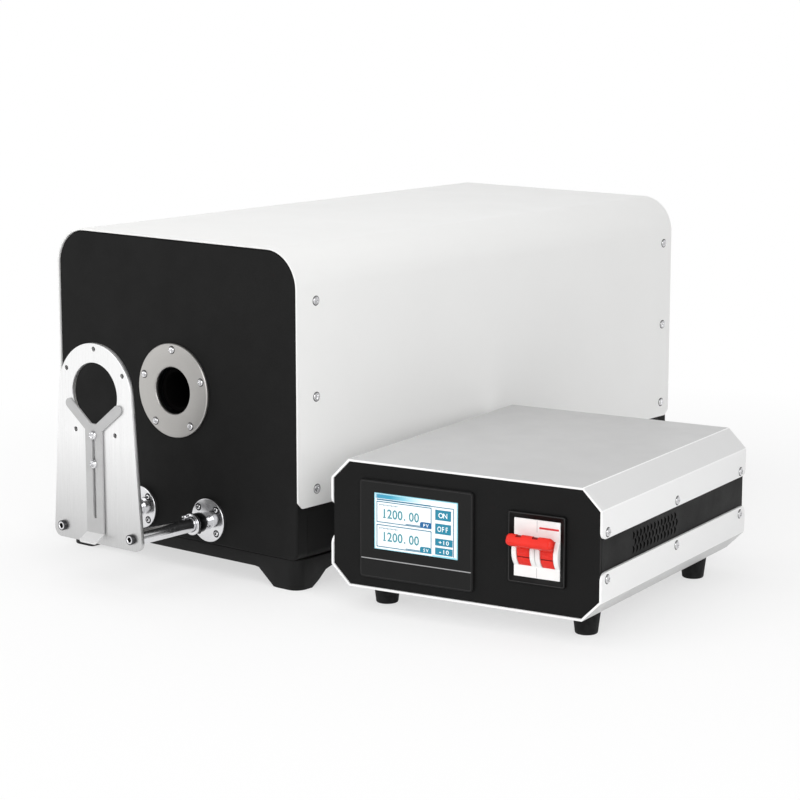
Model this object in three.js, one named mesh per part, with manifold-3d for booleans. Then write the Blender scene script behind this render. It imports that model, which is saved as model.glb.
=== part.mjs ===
// Thermocouple calibration furnace with its control unit, in millimetres, +Z up.
// The furnace is a horizontal tube furnace in a casing on a plinth. A stand on two guide rods
// slides in and out in front of its mouth and carries the thermocouples on an adjustable rest.
// The control unit stands beside it: touch screen, two-pole breaker, vented casing on four feet.
// Furnace frame while building: y = 0 is the cover's front edge, z = 0 the table, x = 0 the bore.
import * as THREE from "three";
import { mergeVertices } from "three/addons/utils/BufferGeometryUtils.js";
import Module from "manifold-3d";

const wasm = await Module();
wasm.setup();

// Casing
const caseWidth = 362;
const caseTop = 365;
const caseLength = 700;
const caseRadius = 42;
const coverSheet = 2;
const coverBottom = 91;
const coverCorner = 7;
const bodyBottom = 34;
const panelSheet = 2;
const panelDepth = 16;
const panelSetback = 1;
const panelEdgeRadius = 2.4;
const bodyFootRadius = 9;
const panelClearance = 0.5;
const trayLap = 20;

// Clearances and cutting overrun that all pieces share
const seatGap = 0.3;
const overrun = 6;

// Plinth
const plinthInset = 4;
const plinthRadius = 13;
const plinthWall = 4;
const plinthTop = 4;
const footHeight = 19;
const footWidth = 57;
const footLength = 50;
const footSlant = 23;

// Bore, tube and heater
const boreHeight = 198;
const tubeBore = 40;
const tubeOuter = 50;
const tubeInset = 7;
const heaterOuter = 96;
const drumOuter = 230;
const drumSheet = 2;
const drumInset = 30;
const capThickness = 6;
const splitGap = 0.6;

// Mouth flanges
const mouthOuter = 104;
const mouthOpening = 52;
const mouthThickness = 3;
const mouthBevel = 0.8;

// Drum cradles
const cradleSheet = 3;
const cradleHalfWidth = 100;
const cradleRise = 96;
const cradleFoot = 22;
const cradleInset = 90;
const cradleRodClearance = 3;

// Control thermocouple
const sensorRadius = 4;
const sensorHeadRadius = 12;
const sensorHeadHeight = 18;
const sensorHoleClearance = 0.6;

// Guide bushings and their lock collars
const guideSpacing = 104;
const guideHeight = 61.5;
const rodRadius = 8;
const rodRunningGap = 0.4;
const bushFlangeRadius = 24;
const bushFlangeThickness = 5;
const bushBodyRadius = 14;
const bushBodyLength = 37;
const bushBevel = 1;
const noseRadius = 9.8;
const noseLength = 10.7;
const noseBevel = 0.4;
const collarRadius = 10.8;
const collarLength = 11;
const collarRingRadius = 11.8;
const collarRingLength = 3.6;
const collarBevel = 0.9;
const tongueWidth = 6;
const tongueThickness = 1.8;
const tongueReach = 9;
const tongueTilt = 16;

// Stand: rods, plate and bolts
const rodLength = 300;
const standReach = 118;
const plateThickness = 5;
const plateBevel = 0.5;
const ringHeight = 210;
const ringOuterRadius = 54.5;
const ringHoleRadius = 34;
const plateFootWidth = 132;
const plateFootHeight = 48.5;
const plateFootRadius = 10;
const fixtureHoleRadius = 2.6;
const fixtureCircle = 48.5;
const fixtureAngles = [30, 90, 150];
const lowerFixtureHalf = 29.7;
const lowerFixtureDrop = 40.4;
const boltRadius = 4;
const boltHeadRadius = 6.4;
const boltHeadHeight = 4.6;
const boltSocketRadius = 3.2;
const boltSocketDepth = 2.8;
const boltThread = 16;
const boltHoleClearance = 0.4;

// Thermocouple rest: a V-shaped bracket that slides on the plate
const restSheet = 2.5;
const restWidth = 25;
const restVertexHeight = 179;
const restFlat = 8;
const armAngle = 38;
const armLength = 36.5;
const armTipRadius = 5.4;
const restTabLength = 15.5;
const restTabAngle = 60;
const restTabDrop = 15;
const slotDrop = 9;
const slotLength = 93;
const slotHalfWidth = 2.4;
const restScrewDrop = 12;
const restScrewPitch = 31;
const restScrewRadius = 2;
const restScrewHeadRadius = 5;
const restScrewHeadHeight = 3.2;

// Rear connectors of furnace and control unit
const socketRadius = 13;
const socketFlange = 34;
const socketFlangeThickness = 2.5;
const socketRise = 12;
const socketBehind = 18;
const socketRecess = 3;
const socketWall = 2;
const pinRadius = 1.6;
const pinHeight = 2.4;
const pinCircle = 5.5;
const furnaceSocketHeight = 75;
const furnaceSocketSpacing = 80;

// Control unit casing
const unitWidth = 310;
const unitHeight = 134;
const unitDepth = 352;
const unitChamfer = 21;
const unitFeetHeight = 25;
const unitSheet = 2.5;
const unitTurn = 8.8;
const unitGap = 6;
const unitSetback = 8;
const lowerShellRise = 50.5;
const upperShellRise = 84;
const shellCornerRadius = 8;
const unitPanelSheet = 4;
const unitPanelSetback = 1.2;
const stripSheet = 2;
const stripLap = 8;

// Vents in the side strips
const ventColumns = 13;
const ventRows = 5;
const ventPitch = 8.2;
const ventRowPitch = 4.8;
const ventLength = 5.6;
const ventHeight = 3.2;
const ventStart = 76;
const ventCentreRise = 66;

// Control unit feet
const unitFootTopRadius = 14.5;
const unitFootBottomRadius = 11.5;
const unitFootInsetSide = 39;
const unitFootInsetEnd = 47;
const unitFootEdge = 1.5;

// Touch screen
const screenWidth = 132.5;
const screenHeight = 102.5;
const screenLeft = 35.5;
const screenRise = 13;
const screenProud = 3;
const screenRadius = 4;
const screenBevel = 1;
const displayWidth = 98;
const displayHeight = 59;
const displayLeft = 17;
const displayRise = 31;
const displayRecess = 0.8;
const displayGlass = 2;
const housingMargin = 7;
const housingDepth = 34;

// Breaker
const breakerWidth = 51;
const breakerHeight = 59;
const breakerDepth = 62;
const breakerCentre = 84;
const breakerRise = 66.5;
const breakerProud = 1.5;
const breakerFrameWidth = 64;
const breakerFrameHeight = 72.5;
const breakerFrameProud = 2.5;
const breakerFrameRadius = 3;
const breakerFrameBevel = 0.8;
const poleSpacing = 26;
const barrelRadius = 19.6;
const barrelWidth = 14;
const barrelRunningGap = 0.5;
const cheekRadius = 20;
const cheekWidth = 4.5;
const hubDepth = 14.5;
const hubDrop = 4;
const toggleReach = 32.6;
const toggleAngle = 26;
const toggleLeverThickness = 8.4;
const toggleBarWidth = 52;
const toggleBarHeight = 12;
const toggleBarThickness = 10;
const toggleBarRadius = 3.6;

// Inside the control unit
const deckSheet = 2;
const deckMargin = 24;
const deckRise = 2;
const relayWidth = 58;
const relayLength = 45;
const relayHeight = 28;
const sinkWidth = 80;
const sinkLength = 110;
const sinkHeight = 45;
const sinkBase = 6;
const sinkFins = 9;
const sinkFinThickness = 2.4;
const sinkX = -75;
const sinkFromRear = 122;
const supplyWidth = 98;
const supplyLength = 129;
const supplyHeight = 38;
const supplyX = 65;
const supplyFromRear = 137;
const terminalWidth = 90;
const terminalDepth = 24;
const terminalHeight = 20;
const terminalBarrier = 1.6;
const terminalWays = 6;
const terminalX = -70;
const terminalFromRear = 47;
const unitSocketRise = 60;
const unitSocketShares = [-0.27, 0, 0.27];

// Angular steps of round pieces
const fineSteps = 32;
const drumSteps = 24;
const midSteps = 20;
const smallSteps = 14;
const tinySteps = 8;
const pinSteps = 6;

const radians = THREE.MathUtils.degToRad;
const panelHalf = caseWidth / 2 - coverSheet - panelClearance;
const panelTop = caseTop - coverSheet - panelClearance;
const panelRadius = caseRadius - coverSheet - panelClearance;
const slotTop = restVertexHeight - slotDrop;
const slotBottom = slotTop - slotLength;
const restBendHeight = slotBottom - restTabDrop;
const restScrewUpper = restVertexHeight - restScrewDrop;
const restScrewLower = restScrewUpper - restScrewPitch;

// Solids: weld a three.js geometry into a closed body, and bring a body back

// A geometry's shared corners become one, its flat triangles go, and its faces turn outwards.
function solid(geometry) {
  const bare = geometry.clone();
  bare.deleteAttribute("normal");
  bare.deleteAttribute("uv");
  const welded = mergeVertices(bare, 1e-5);
  const place = welded.attributes.position;
  const corners = [];
  let volume = 0;
  const [a, b, c] = [new THREE.Vector3(), new THREE.Vector3(), new THREE.Vector3()];
  for (let i = 0; i < welded.index.count; i += 3) {
    const triangle = [welded.index.getX(i), welded.index.getX(i + 1), welded.index.getX(i + 2)];
    if (new Set(triangle).size < 3) continue;
    a.fromBufferAttribute(place, triangle[0]);
    b.fromBufferAttribute(place, triangle[1]);
    c.fromBufferAttribute(place, triangle[2]);
    volume += a.dot(b.cross(c));
    corners.push(...triangle);
  }
  if (volume < 0) corners.reverse();
  const vertProperties = new Float32Array(place.array);
  const triVerts = new Uint32Array(corners);
  return new wasm.Manifold(new wasm.Mesh({ numProp: 3, vertProperties, triVerts }));
}

function toGeometry(body) {
  const mesh = body.getMesh();
  const geometry = new THREE.BufferGeometry();
  geometry.setAttribute("position", new THREE.BufferAttribute(new Float32Array(mesh.vertProperties), 3));
  geometry.setIndex(new THREE.BufferAttribute(new Uint32Array(mesh.triVerts), 1));
  const facets = geometry.toNonIndexed();
  facets.computeVertexNormals();
  return facets;
}

// Prisms: a flat outline carried along one axis

function prismZ(shape, from, to, steps = 8) {
  const geometry = new THREE.ExtrudeGeometry(shape, {
    depth: to - from, bevelEnabled: false, curveSegments: steps,
  });
  return solid(geometry.translate(0, 0, from));
}

// The outline's x and y become x and z, and it runs along y.
function prismY(shape, from, to, steps = 8) {
  const geometry = new THREE.ExtrudeGeometry(shape, {
    depth: to - from, bevelEnabled: false, curveSegments: steps,
  });
  return solid(geometry.rotateX(Math.PI / 2).translate(0, to, 0));
}

// The outline's x and y become y and z, and it runs along x.
function prismX(shape, from, to, steps = 8) {
  const geometry = new THREE.ExtrudeGeometry(shape, {
    depth: to - from, bevelEnabled: false, curveSegments: steps,
  });
  const [x, y, z] = [new THREE.Vector3(1, 0, 0), new THREE.Vector3(0, 1, 0), new THREE.Vector3(0, 0, 1)];
  return solid(geometry.applyMatrix4(new THREE.Matrix4().makeBasis(y, z, x)).translate(from, 0, 0));
}

// A prism along y whose front edge is rounded off by a bevel.
function bevelledY(shape, from, to, bevel, steps = 8, rounds = 2) {
  const geometry = new THREE.ExtrudeGeometry(shape, {
    depth: to - from, bevelEnabled: true, bevelThickness: bevel, bevelSize: bevel,
    bevelOffset: -bevel, bevelSegments: rounds, curveSegments: steps,
  });
  const body = solid(geometry.rotateX(Math.PI / 2).translate(0, to + bevel, 0));
  return body.intersect(prismY(boxShape(-caseLength, -caseLength, caseLength, caseLength), from, to));
}

// Outlines

function boxShape(x0, y0, x1, y1) {
  const shape = new THREE.Shape();
  shape.moveTo(x0, y0);
  shape.lineTo(x1, y0);
  shape.lineTo(x1, y1);
  shape.lineTo(x0, y1);
  return shape;
}

function roundedBox(x0, y0, x1, y1, radius) {
  const shape = new THREE.Shape();
  shape.moveTo(x0 + radius, y0);
  shape.lineTo(x1 - radius, y0);
  shape.absarc(x1 - radius, y0 + radius, radius, -Math.PI / 2, 0);
  shape.absarc(x1 - radius, y1 - radius, radius, 0, Math.PI / 2);
  shape.absarc(x0 + radius, y1 - radius, radius, Math.PI / 2, Math.PI);
  shape.absarc(x0 + radius, y0 + radius, radius, Math.PI, Math.PI * 1.5);
  return shape;
}

function polygon(points) {
  return new THREE.Shape(points.map(([x, y]) => new THREE.Vector2(x, y)));
}

// Upright casing outline: large radii above, small radii below.
function casingShape(half, bottom, top, upperRadius, lowerRadius) {
  const shape = new THREE.Shape();
  shape.moveTo(-half + lowerRadius, bottom);
  shape.lineTo(half - lowerRadius, bottom);
  if (lowerRadius > 0) shape.absarc(half - lowerRadius, bottom + lowerRadius, lowerRadius, -Math.PI / 2, 0);
  if (upperRadius > 0) {
    shape.absarc(half - upperRadius, top - upperRadius, upperRadius, 0, Math.PI / 2);
    shape.absarc(-half + upperRadius, top - upperRadius, upperRadius, Math.PI / 2, Math.PI);
  } else {
    shape.lineTo(half, top);
    shape.lineTo(-half, top);
  }
  const low = bottom + lowerRadius;
  if (lowerRadius > 0) shape.absarc(-half + lowerRadius, low, lowerRadius, Math.PI, Math.PI * 1.5);
  return shape;
}

// Control unit outline: a box with all four corners cut at 45 degrees.
function unitShape(inset) {
  const half = unitWidth / 2 - inset;
  const low = unitFeetHeight + inset;
  const high = unitFeetHeight + unitHeight - inset;
  const cut = unitChamfer - inset * (2 - Math.SQRT2);
  return polygon([
    [-half + cut, low], [half - cut, low], [half, low + cut], [half, high - cut],
    [half - cut, high], [-half + cut, high], [-half, high - cut], [-half, low + cut],
  ]);
}

// Round bodies: a profile of [radius, height] pairs turned about an axis

function turned(profile, steps) {
  const points = profile.map(([radius, height]) => new THREE.Vector2(radius, height));
  return new THREE.LatheGeometry(points, steps);
}

// Turned about the y axis, at x and z, heights are y.
function turnedY(profile, x, z, steps = midSteps) {
  return solid(turned(profile, steps).translate(x, 0, z));
}

// Turned about the z axis, at x and y, heights are z.
function turnedZ(profile, x, y, steps = midSteps) {
  return solid(turned(profile, steps).rotateX(Math.PI / 2).translate(x, y, 0));
}

// Turned about the x axis, at y and z, heights are x.
function turnedX(profile, y, z, steps = midSteps) {
  return solid(turned(profile, steps).rotateZ(-Math.PI / 2).translate(0, y, z));
}

function rodProfile(radius, from, to) {
  return [[0, from], [radius, from], [radius, to], [0, to]];
}

function tubeProfile(inner, outer, from, to) {
  return [[inner, from], [outer, from], [outer, to], [inner, to], [inner, from]];
}

// Nodes

function node(name, body, finish, group) {
  const material = new THREE.MeshStandardMaterial(finish);
  const mesh = new THREE.Mesh(toGeometry(body), material);
  mesh.name = name;
  group.add(mesh);
  return mesh;
}

const finishes = {
  whiteCoat: { color: "#f1f1f0", roughness: 0.42, metalness: 0 },
  greyCoat: { color: "#d9d9d8", roughness: 0.4, metalness: 0 },
  blackCoat: { color: "#262627", roughness: 0.6, metalness: 0 },
  brushedSteel: { color: "#c9cacb", roughness: 0.34, metalness: 1 },
  chrome: { color: "#dcdddf", roughness: 0.1, metalness: 1 },
  darkSteel: { color: "#2b2b2d", roughness: 0.4, metalness: 0.8 },
  ceramic: { color: "#efe9dc", roughness: 0.8, metalness: 0 },
  darkCeramic: { color: "#201f1e", roughness: 0.8, metalness: 0 },
  fibre: { color: "#e9e7e0", roughness: 1, metalness: 0 },
  rubber: { color: "#19191a", roughness: 0.85, metalness: 0 },
  blackPlastic: { color: "#1d1d1f", roughness: 0.5, metalness: 0 },
  whitePlastic: { color: "#f2f2ef", roughness: 0.45, metalness: 0 },
  redPlastic: { color: "#e8291f", roughness: 0.35, metalness: 0 },
  glass: { color: "#dff3f8", roughness: 0.12, metalness: 0 },
  aluminium: { color: "#b9bbbe", roughness: 0.45, metalness: 1 },
};

// Furnace casing

function outerCover() {
  const half = caseWidth / 2;
  const outer = casingShape(half, coverBottom, caseTop, caseRadius, 0);
  const inner = casingShape(
    half - coverSheet, coverBottom - overrun, caseTop - coverSheet, caseRadius - coverSheet, 0,
  );
  const body = prismY(outer, 0, caseLength).subtract(prismY(inner, -overrun, caseLength + overrun));
  const frontCut = polygon([
    [-overrun, coverBottom - overrun], [coverCorner + overrun, coverBottom - overrun],
    [-overrun, coverBottom + coverCorner + overrun],
  ]);
  const rearCut = polygon([
    [caseLength + overrun, coverBottom - overrun],
    [caseLength + overrun, coverBottom + coverCorner + overrun],
    [caseLength - coverCorner - overrun, coverBottom - overrun],
  ]);
  const reach = half + overrun;
  return body.subtract(prismX(frontCut, -reach, reach)).subtract(prismX(rearCut, -reach, reach));
}

// A shallow folded pan that closes one end, its face at y = 0 and its rim to y = panelDepth.
function endPan() {
  const outer = casingShape(panelHalf, bodyBottom, panelTop, panelRadius, bodyFootRadius);
  const inner = casingShape(
    panelHalf - panelSheet, bodyBottom + panelSheet, panelTop - panelSheet,
    panelRadius - panelSheet, bodyFootRadius - panelSheet,
  );
  const body = bevelledY(outer, 0, panelDepth, panelEdgeRadius, 4);
  const opening = rodProfile(mouthOpening / 2 + seatGap, -overrun, panelDepth);
  const mouth = turnedY(opening, 0, boreHeight, midSteps);
  return body.subtract(prismY(inner, panelSheet, panelDepth + overrun, 4)).subtract(mouth);
}

function frontPanel() {
  let body = endPan();
  for (const side of [-1, 1]) {
    const hole = rodProfile(bushBodyRadius + seatGap, -overrun, panelDepth);
    body = body.subtract(turnedY(hole, side * guideSpacing / 2, guideHeight, midSteps));
  }
  return body.translate([0, panelSetback, 0]);
}

function rearPanel() {
  let body = endPan();
  for (const side of [-1, 1]) {
    const hole = rodProfile(socketRadius + seatGap, -overrun, panelDepth);
    body = body.subtract(turnedY(hole, side * furnaceSocketSpacing / 2, furnaceSocketHeight, midSteps));
  }
  return body.rotate([0, 0, 180]).translate([0, caseLength - panelSetback, 0]);
}

function chassisTray() {
  const top = coverBottom + trayLap;
  const outer = casingShape(panelHalf, bodyBottom, top, 0, bodyFootRadius);
  const inner = casingShape(
    panelHalf - panelSheet, bodyBottom + panelSheet, top + overrun, 0, bodyFootRadius - panelSheet,
  );
  const inset = panelSetback + panelDepth + seatGap;
  return prismY(outer, inset, caseLength - inset, 4)
    .subtract(prismY(inner, 0, caseLength, 4));
}

function basePlinth() {
  const half = panelHalf - plinthInset;
  const [near, far] = [plinthInset + panelSetback, caseLength - plinthInset - panelSetback];
  const top = bodyBottom - seatGap;
  const outline = roundedBox(-half, near, half, far, plinthRadius);
  const inner = roundedBox(
    -half + plinthWall, near + plinthWall, half - plinthWall, far - plinthWall, plinthRadius - plinthWall,
  );
  const whole = prismZ(outline, 0, top, 4);
  const cornerX = half - footWidth;
  const crossing = prismZ(boxShape(-cornerX, near, cornerX, far), -overrun, top)
    .add(prismZ(boxShape(-half, near + footLength, half, far - footLength), -overrun, top));
  const cavity = prismZ(inner, -overrun, top - plinthTop, 4).intersect(crossing);
  const frontArch = polygon([
    [-cornerX - footSlant, -overrun], [cornerX + footSlant, -overrun], [cornerX + footSlant, 0],
    [cornerX, footHeight], [-cornerX, footHeight], [-cornerX - footSlant, 0],
  ]);
  const [sideNear, sideFar] = [near + footLength, far - footLength];
  const sideArch = polygon([
    [sideNear - footSlant, -overrun], [sideFar + footSlant, -overrun], [sideFar + footSlant, 0],
    [sideFar, footHeight], [sideNear, footHeight], [sideNear - footSlant, 0],
  ]);
  return whole.subtract(cavity)
    .subtract(prismY(frontArch, near - overrun, far + overrun))
    .subtract(prismX(sideArch, -half - overrun, half + overrun));
}

// Mouth flange: a thin disc with both edges broken, its outer face towards the user.
function mouthFlange(face, outward) {
  const [hole, rim] = [mouthOpening / 2, mouthOuter / 2];
  const seat = face + outward * seatGap;
  const front = seat + outward * mouthThickness;
  return turnedY([
    [hole, seat], [rim, seat], [rim, front - outward * mouthBevel],
    [rim - mouthBevel, front], [hole + mouthBevel, front], [hole, front - outward * mouthBevel],
    [hole, seat],
  ], 0, boreHeight, fineSteps);
}

// Heater drum and what it holds

function furnaceTube() {
  return turnedY(
    tubeProfile(tubeBore / 2, tubeOuter / 2, tubeInset, caseLength - tubeInset), 0, boreHeight, drumSteps,
  );
}

const capInset = drumInset + capThickness;

function heaterCore() {
  const length = [capInset + seatGap, caseLength - capInset - seatGap];
  return turnedY(
    tubeProfile(tubeOuter / 2 + seatGap, heaterOuter / 2, ...length), 0, boreHeight, drumSteps,
  );
}

function sensorHole(radius) {
  const from = boreHeight + heaterOuter / 2;
  return turnedZ(rodProfile(radius, from, caseTop), 0, caseLength / 2, smallSteps);
}

// One half of the fibre insulation, above or below the split through the bore.
function insulationHalf(side) {
  const outer = drumOuter / 2 - drumSheet - seatGap;
  const length = [capInset + seatGap, caseLength - capInset - seatGap];
  const whole = turnedY(
    tubeProfile(heaterOuter / 2 + seatGap, outer, ...length), 0, boreHeight, drumSteps,
  );
  const near = boreHeight + side * splitGap / 2;
  const far = boreHeight + side * drumOuter;
  const keep = prismY(
    boxShape(-drumOuter, Math.min(near, far), drumOuter, Math.max(near, far)), 0, caseLength,
  );
  const half = whole.intersect(keep);
  return side > 0 ? half.subtract(sensorHole(sensorRadius + sensorHoleClearance)) : half;
}

function innerDrum() {
  const shell = tubeProfile(drumOuter / 2 - drumSheet, drumOuter / 2, drumInset, caseLength - drumInset);
  return turnedY(shell, 0, boreHeight, drumSteps)
    .subtract(sensorHole(sensorRadius + sensorHoleClearance));
}

function drumCap(from) {
  const outer = drumOuter / 2 - drumSheet - seatGap;
  return turnedY(
    tubeProfile(tubeOuter / 2 + seatGap, outer, from, from + capThickness), 0, boreHeight, drumSteps,
  );
}

// Saddle plate with a folded foot, cut to the drum; the front one lets the guide rods through.
function drumCradle(at, withRods) {
  const floor = bodyBottom + panelSheet + seatGap;
  const plate = prismY(
    boxShape(-cradleHalfWidth, floor, cradleHalfWidth, floor + cradleRise), at, at + cradleSheet,
  );
  const foot = prismY(
    boxShape(-cradleHalfWidth, floor, cradleHalfWidth, floor + cradleSheet), at, at + cradleFoot,
  );
  const drum = rodProfile(drumOuter / 2 + seatGap, at - overrun, at + cradleFoot + overrun);
  let body = plate.add(foot).subtract(turnedY(drum, 0, boreHeight, drumSteps));
  if (withRods) {
    for (const side of [-1, 1]) {
      const hole = rodProfile(rodRadius + cradleRodClearance, at - overrun, at + cradleFoot + overrun);
      body = body.subtract(turnedY(hole, side * guideSpacing / 2, guideHeight, smallSteps));
    }
  }
  return body;
}

function controlThermocouple() {
  const from = boreHeight + heaterOuter / 2 + seatGap;
  const seat = boreHeight + drumOuter / 2 + seatGap;
  const top = seat + sensorHeadHeight;
  return turnedZ([
    [0, from], [sensorRadius, from], [sensorRadius, seat], [sensorHeadRadius, seat],
    [sensorHeadRadius, top], [0, top],
  ], 0, caseLength / 2, smallSteps);
}

// Guide bushings, lock collars and the sliding stand

function guideBushing(x) {
  const bore = rodRadius + rodRunningGap;
  const seat = panelSetback - seatGap;
  const front = seat - bushFlangeThickness;
  const back = panelSetback + bushBodyLength;
  const nose = front - noseLength;
  return turnedY([
    [bore, nose], [noseRadius - noseBevel, nose], [noseRadius, nose + noseBevel], [noseRadius, front],
    [bushFlangeRadius - bushBevel, front], [bushFlangeRadius, front + bushBevel],
    [bushFlangeRadius, seat], [bushBodyRadius, seat], [bushBodyRadius, back], [bore, back], [bore, nose],
  ], x, guideHeight, fineSteps);
}

// Dark sleeve with a bright end ring; a small tongue on the ring points forward over the rod.
function lockCollar(x) {
  const bore = rodRadius + rodRunningGap;
  const seat = panelSetback - seatGap - bushFlangeThickness - noseLength - seatGap;
  const ring = seat - collarLength;
  const front = ring - collarRingLength;
  const sleeve = turnedY([
    [bore, seat], [bore, front], [collarRingRadius - collarBevel, front],
    [collarRingRadius, front + collarBevel], [collarRingRadius, ring], [collarRadius, ring],
    [collarRadius, seat], [bore, seat],
  ], x, guideHeight, midSteps);
  const low = collarRingRadius - collarBevel - tongueThickness;
  const shape = boxShape(-tongueWidth / 2, low, tongueWidth / 2, low + tongueThickness);
  const tongue = prismY(shape, front - tongueReach, ring - collarRingLength / 2);
  return sleeve.add(tongue.rotate([0, -tongueTilt, 0]).translate([x, 0, guideHeight]));
}

const plateFront = -standReach;
const plateBack = plateFront + plateThickness;

function guideRod(x) {
  const from = plateBack + seatGap;
  const rod = turnedY([
    [0, from], [rodRadius - bushBevel, from], [rodRadius, from + bushBevel],
    [rodRadius, from + rodLength - bushBevel], [rodRadius - bushBevel, from + rodLength],
    [0, from + rodLength],
  ], x, guideHeight, midSteps);
  const thread = rodProfile(boltRadius + boltHoleClearance, plateFront, from + boltThread + seatGap);
  return rod.subtract(turnedY(thread, x, guideHeight, smallSteps));
}

// Socket head bolt through the plate into a rod's end.
function rodBolt(x) {
  const seat = plateFront - seatGap;
  const head = seat - boltHeadHeight;
  return turnedY([
    [0, head + boltSocketDepth], [boltSocketRadius, head + boltSocketDepth], [boltSocketRadius, head],
    [boltHeadRadius - bushBevel, head], [boltHeadRadius, head + bushBevel], [boltHeadRadius, seat],
    [boltRadius, seat], [boltRadius, plateBack + boltThread], [0, plateBack + boltThread],
  ], x, guideHeight, smallSteps);
}

// Plate outline: a ring above and a wide foot below, joined by straight sides that touch both arcs.
function plateShape() {
  const footX = plateFootWidth / 2 - plateFootRadius;
  const footZ = plateFootHeight + plateFootRadius;
  const [dx, dz] = [-footX, ringHeight - footZ];
  const lean = Math.acos((plateFootRadius - ringOuterRadius) / Math.hypot(dx, dz));
  const side = Math.atan2(dz, dx) - lean;
  const shape = new THREE.Shape();
  shape.moveTo(-footX, plateFootHeight);
  shape.lineTo(footX, plateFootHeight);
  shape.absarc(footX, footZ, plateFootRadius, -Math.PI / 2, side);
  shape.absarc(0, ringHeight, ringOuterRadius, side, Math.PI - side);
  shape.absarc(-footX, footZ, plateFootRadius, Math.PI - side, Math.PI * 1.5);
  return shape;
}

function standPlate() {
  const way = [plateFront - overrun, plateBack + overrun];
  const hole = (radius, x, z, steps) => turnedY(rodProfile(radius, ...way), x, z, steps);
  let body = bevelledY(plateShape(), plateFront, plateBack, plateBevel, 14, 1)
    .subtract(hole(ringHoleRadius, 0, ringHeight, fineSteps));
  for (const angle of fixtureAngles.map(radians)) {
    const [x, z] = [fixtureCircle * Math.cos(angle), fixtureCircle * Math.sin(angle)];
    body = body.subtract(hole(fixtureHoleRadius, x, ringHeight + z, tinySteps));
  }
  for (const side of [-1, 1]) {
    const lowZ = ringHeight - lowerFixtureDrop;
    const lower = hole(fixtureHoleRadius, side * lowerFixtureHalf, lowZ, tinySteps);
    const bolt = hole(boltRadius + boltHoleClearance, side * guideSpacing / 2, guideHeight, smallSteps);
    body = body.subtract(lower).subtract(bolt);
  }
  for (const z of [restScrewUpper, restScrewLower]) {
    body = body.subtract(hole(restScrewRadius + seatGap, 0, z, tinySteps));
  }
  return body;
}

const restBack = plateFront - seatGap;
const restFront = restBack - restSheet;

// Flat part of the rest: a slotted strip that opens into two arms with round tips.
function restShape() {
  const angle = radians(armAngle);
  const [alongX, alongZ] = [Math.cos(angle), Math.sin(angle)];
  const innerX = restFlat / 2 + armLength * alongX;
  const innerZ = restVertexHeight + armLength * alongZ;
  const tipX = innerX + armTipRadius * alongZ;
  const tipZ = innerZ - armTipRadius * alongX;
  const armWidth = 2 * armTipRadius;
  const rootZ = restVertexHeight + (restWidth - restFlat) / 2 * Math.tan(angle) - armWidth / alongX;
  const shape = new THREE.Shape();
  shape.moveTo(-restWidth / 2, restBendHeight);
  shape.lineTo(restWidth / 2, restBendHeight);
  shape.lineTo(restWidth / 2, rootZ);
  shape.absarc(tipX, tipZ, armTipRadius, angle - Math.PI / 2, angle + Math.PI / 2);
  shape.lineTo(restFlat / 2, restVertexHeight);
  shape.lineTo(-restFlat / 2, restVertexHeight);
  shape.absarc(-tipX, tipZ, armTipRadius, Math.PI / 2 - angle, Math.PI * 1.5 - angle);
  shape.lineTo(-restWidth / 2, rootZ);
  return shape;
}

// Thermocouple rest: the flat part, its slot, and the finger tab bent out at its foot.
function vBracket() {
  const flat = prismY(restShape(), restFront, restBack, 6);
  const slot = roundedBox(-slotHalfWidth, slotBottom, slotHalfWidth, slotTop, slotHalfWidth - seatGap / 2);
  const lean = radians(restTabAngle);
  const [outY, outZ] = [-Math.sin(lean), -Math.cos(lean)];
  const tab = polygon([
    [restBack, restBendHeight + restSheet], [restFront, restBendHeight + restSheet],
    [restFront, restBendHeight],
    [restFront + restTabLength * outY, restBendHeight + restTabLength * outZ],
    [
      restFront + restTabLength * outY - restSheet * outZ,
      restBendHeight + restTabLength * outZ + restSheet * outY,
    ],
    [restBack, restBendHeight - restSheet],
  ]);
  return flat.add(prismX(tab, -restWidth / 2, restWidth / 2))
    .subtract(prismY(slot, restFront - overrun, restBack + overrun, 4));
}

function bracketScrew(z) {
  const seat = restFront - seatGap;
  const top = seat - restScrewHeadHeight;
  const step = restScrewHeadHeight / 2;
  return turnedY([
    [0, top], [restScrewHeadRadius - step, top], [restScrewHeadRadius, top + step],
    [restScrewHeadRadius, seat], [restScrewRadius, seat], [restScrewRadius, plateBack], [0, plateBack],
  ], 0, z, smallSteps);
}

// A round panel connector with a square flange and recessed pins, its face towards -y.
// It sits on a panel face at y = 0 and reaches through a round hole to y = socketBehind.
function panelSocket(x, z) {
  const half = socketFlange / 2;
  const square = roundedBox(x - half, z - half, x + half, z + half, socketWall);
  const flange = prismY(square, -seatGap - socketFlangeThickness, -seatGap, 1);
  const shell = turnedY(rodProfile(socketRadius, -socketRise, socketBehind), x, z, midSteps);
  const recess = rodProfile(socketRadius - socketWall, -socketRise - overrun, -socketRise + socketRecess);
  const pinBase = -socketRise + socketRecess;
  const pin = rodProfile(pinRadius, pinBase - pinHeight, pinBase + pinHeight);
  let body = flange.add(shell).subtract(turnedY(recess, x, z, midSteps));
  for (const turn of [0, 120, 240].map(radians)) {
    body = body.add(turnedY(pin, x + pinCircle * Math.cos(turn), z + pinCircle * Math.sin(turn), pinSteps));
  }
  return body;
}

// Control unit, in its own frame: x across, y to the rear from the front edge, z up from the table

const unitTop = unitFeetHeight + unitHeight;
const unitHalf = unitWidth / 2;
const lowerShellTop = unitFeetHeight + lowerShellRise;
const upperShellBottom = unitFeetHeight + upperShellRise;
const unitPanelBack = unitPanelSetback + unitPanelSheet;

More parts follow.
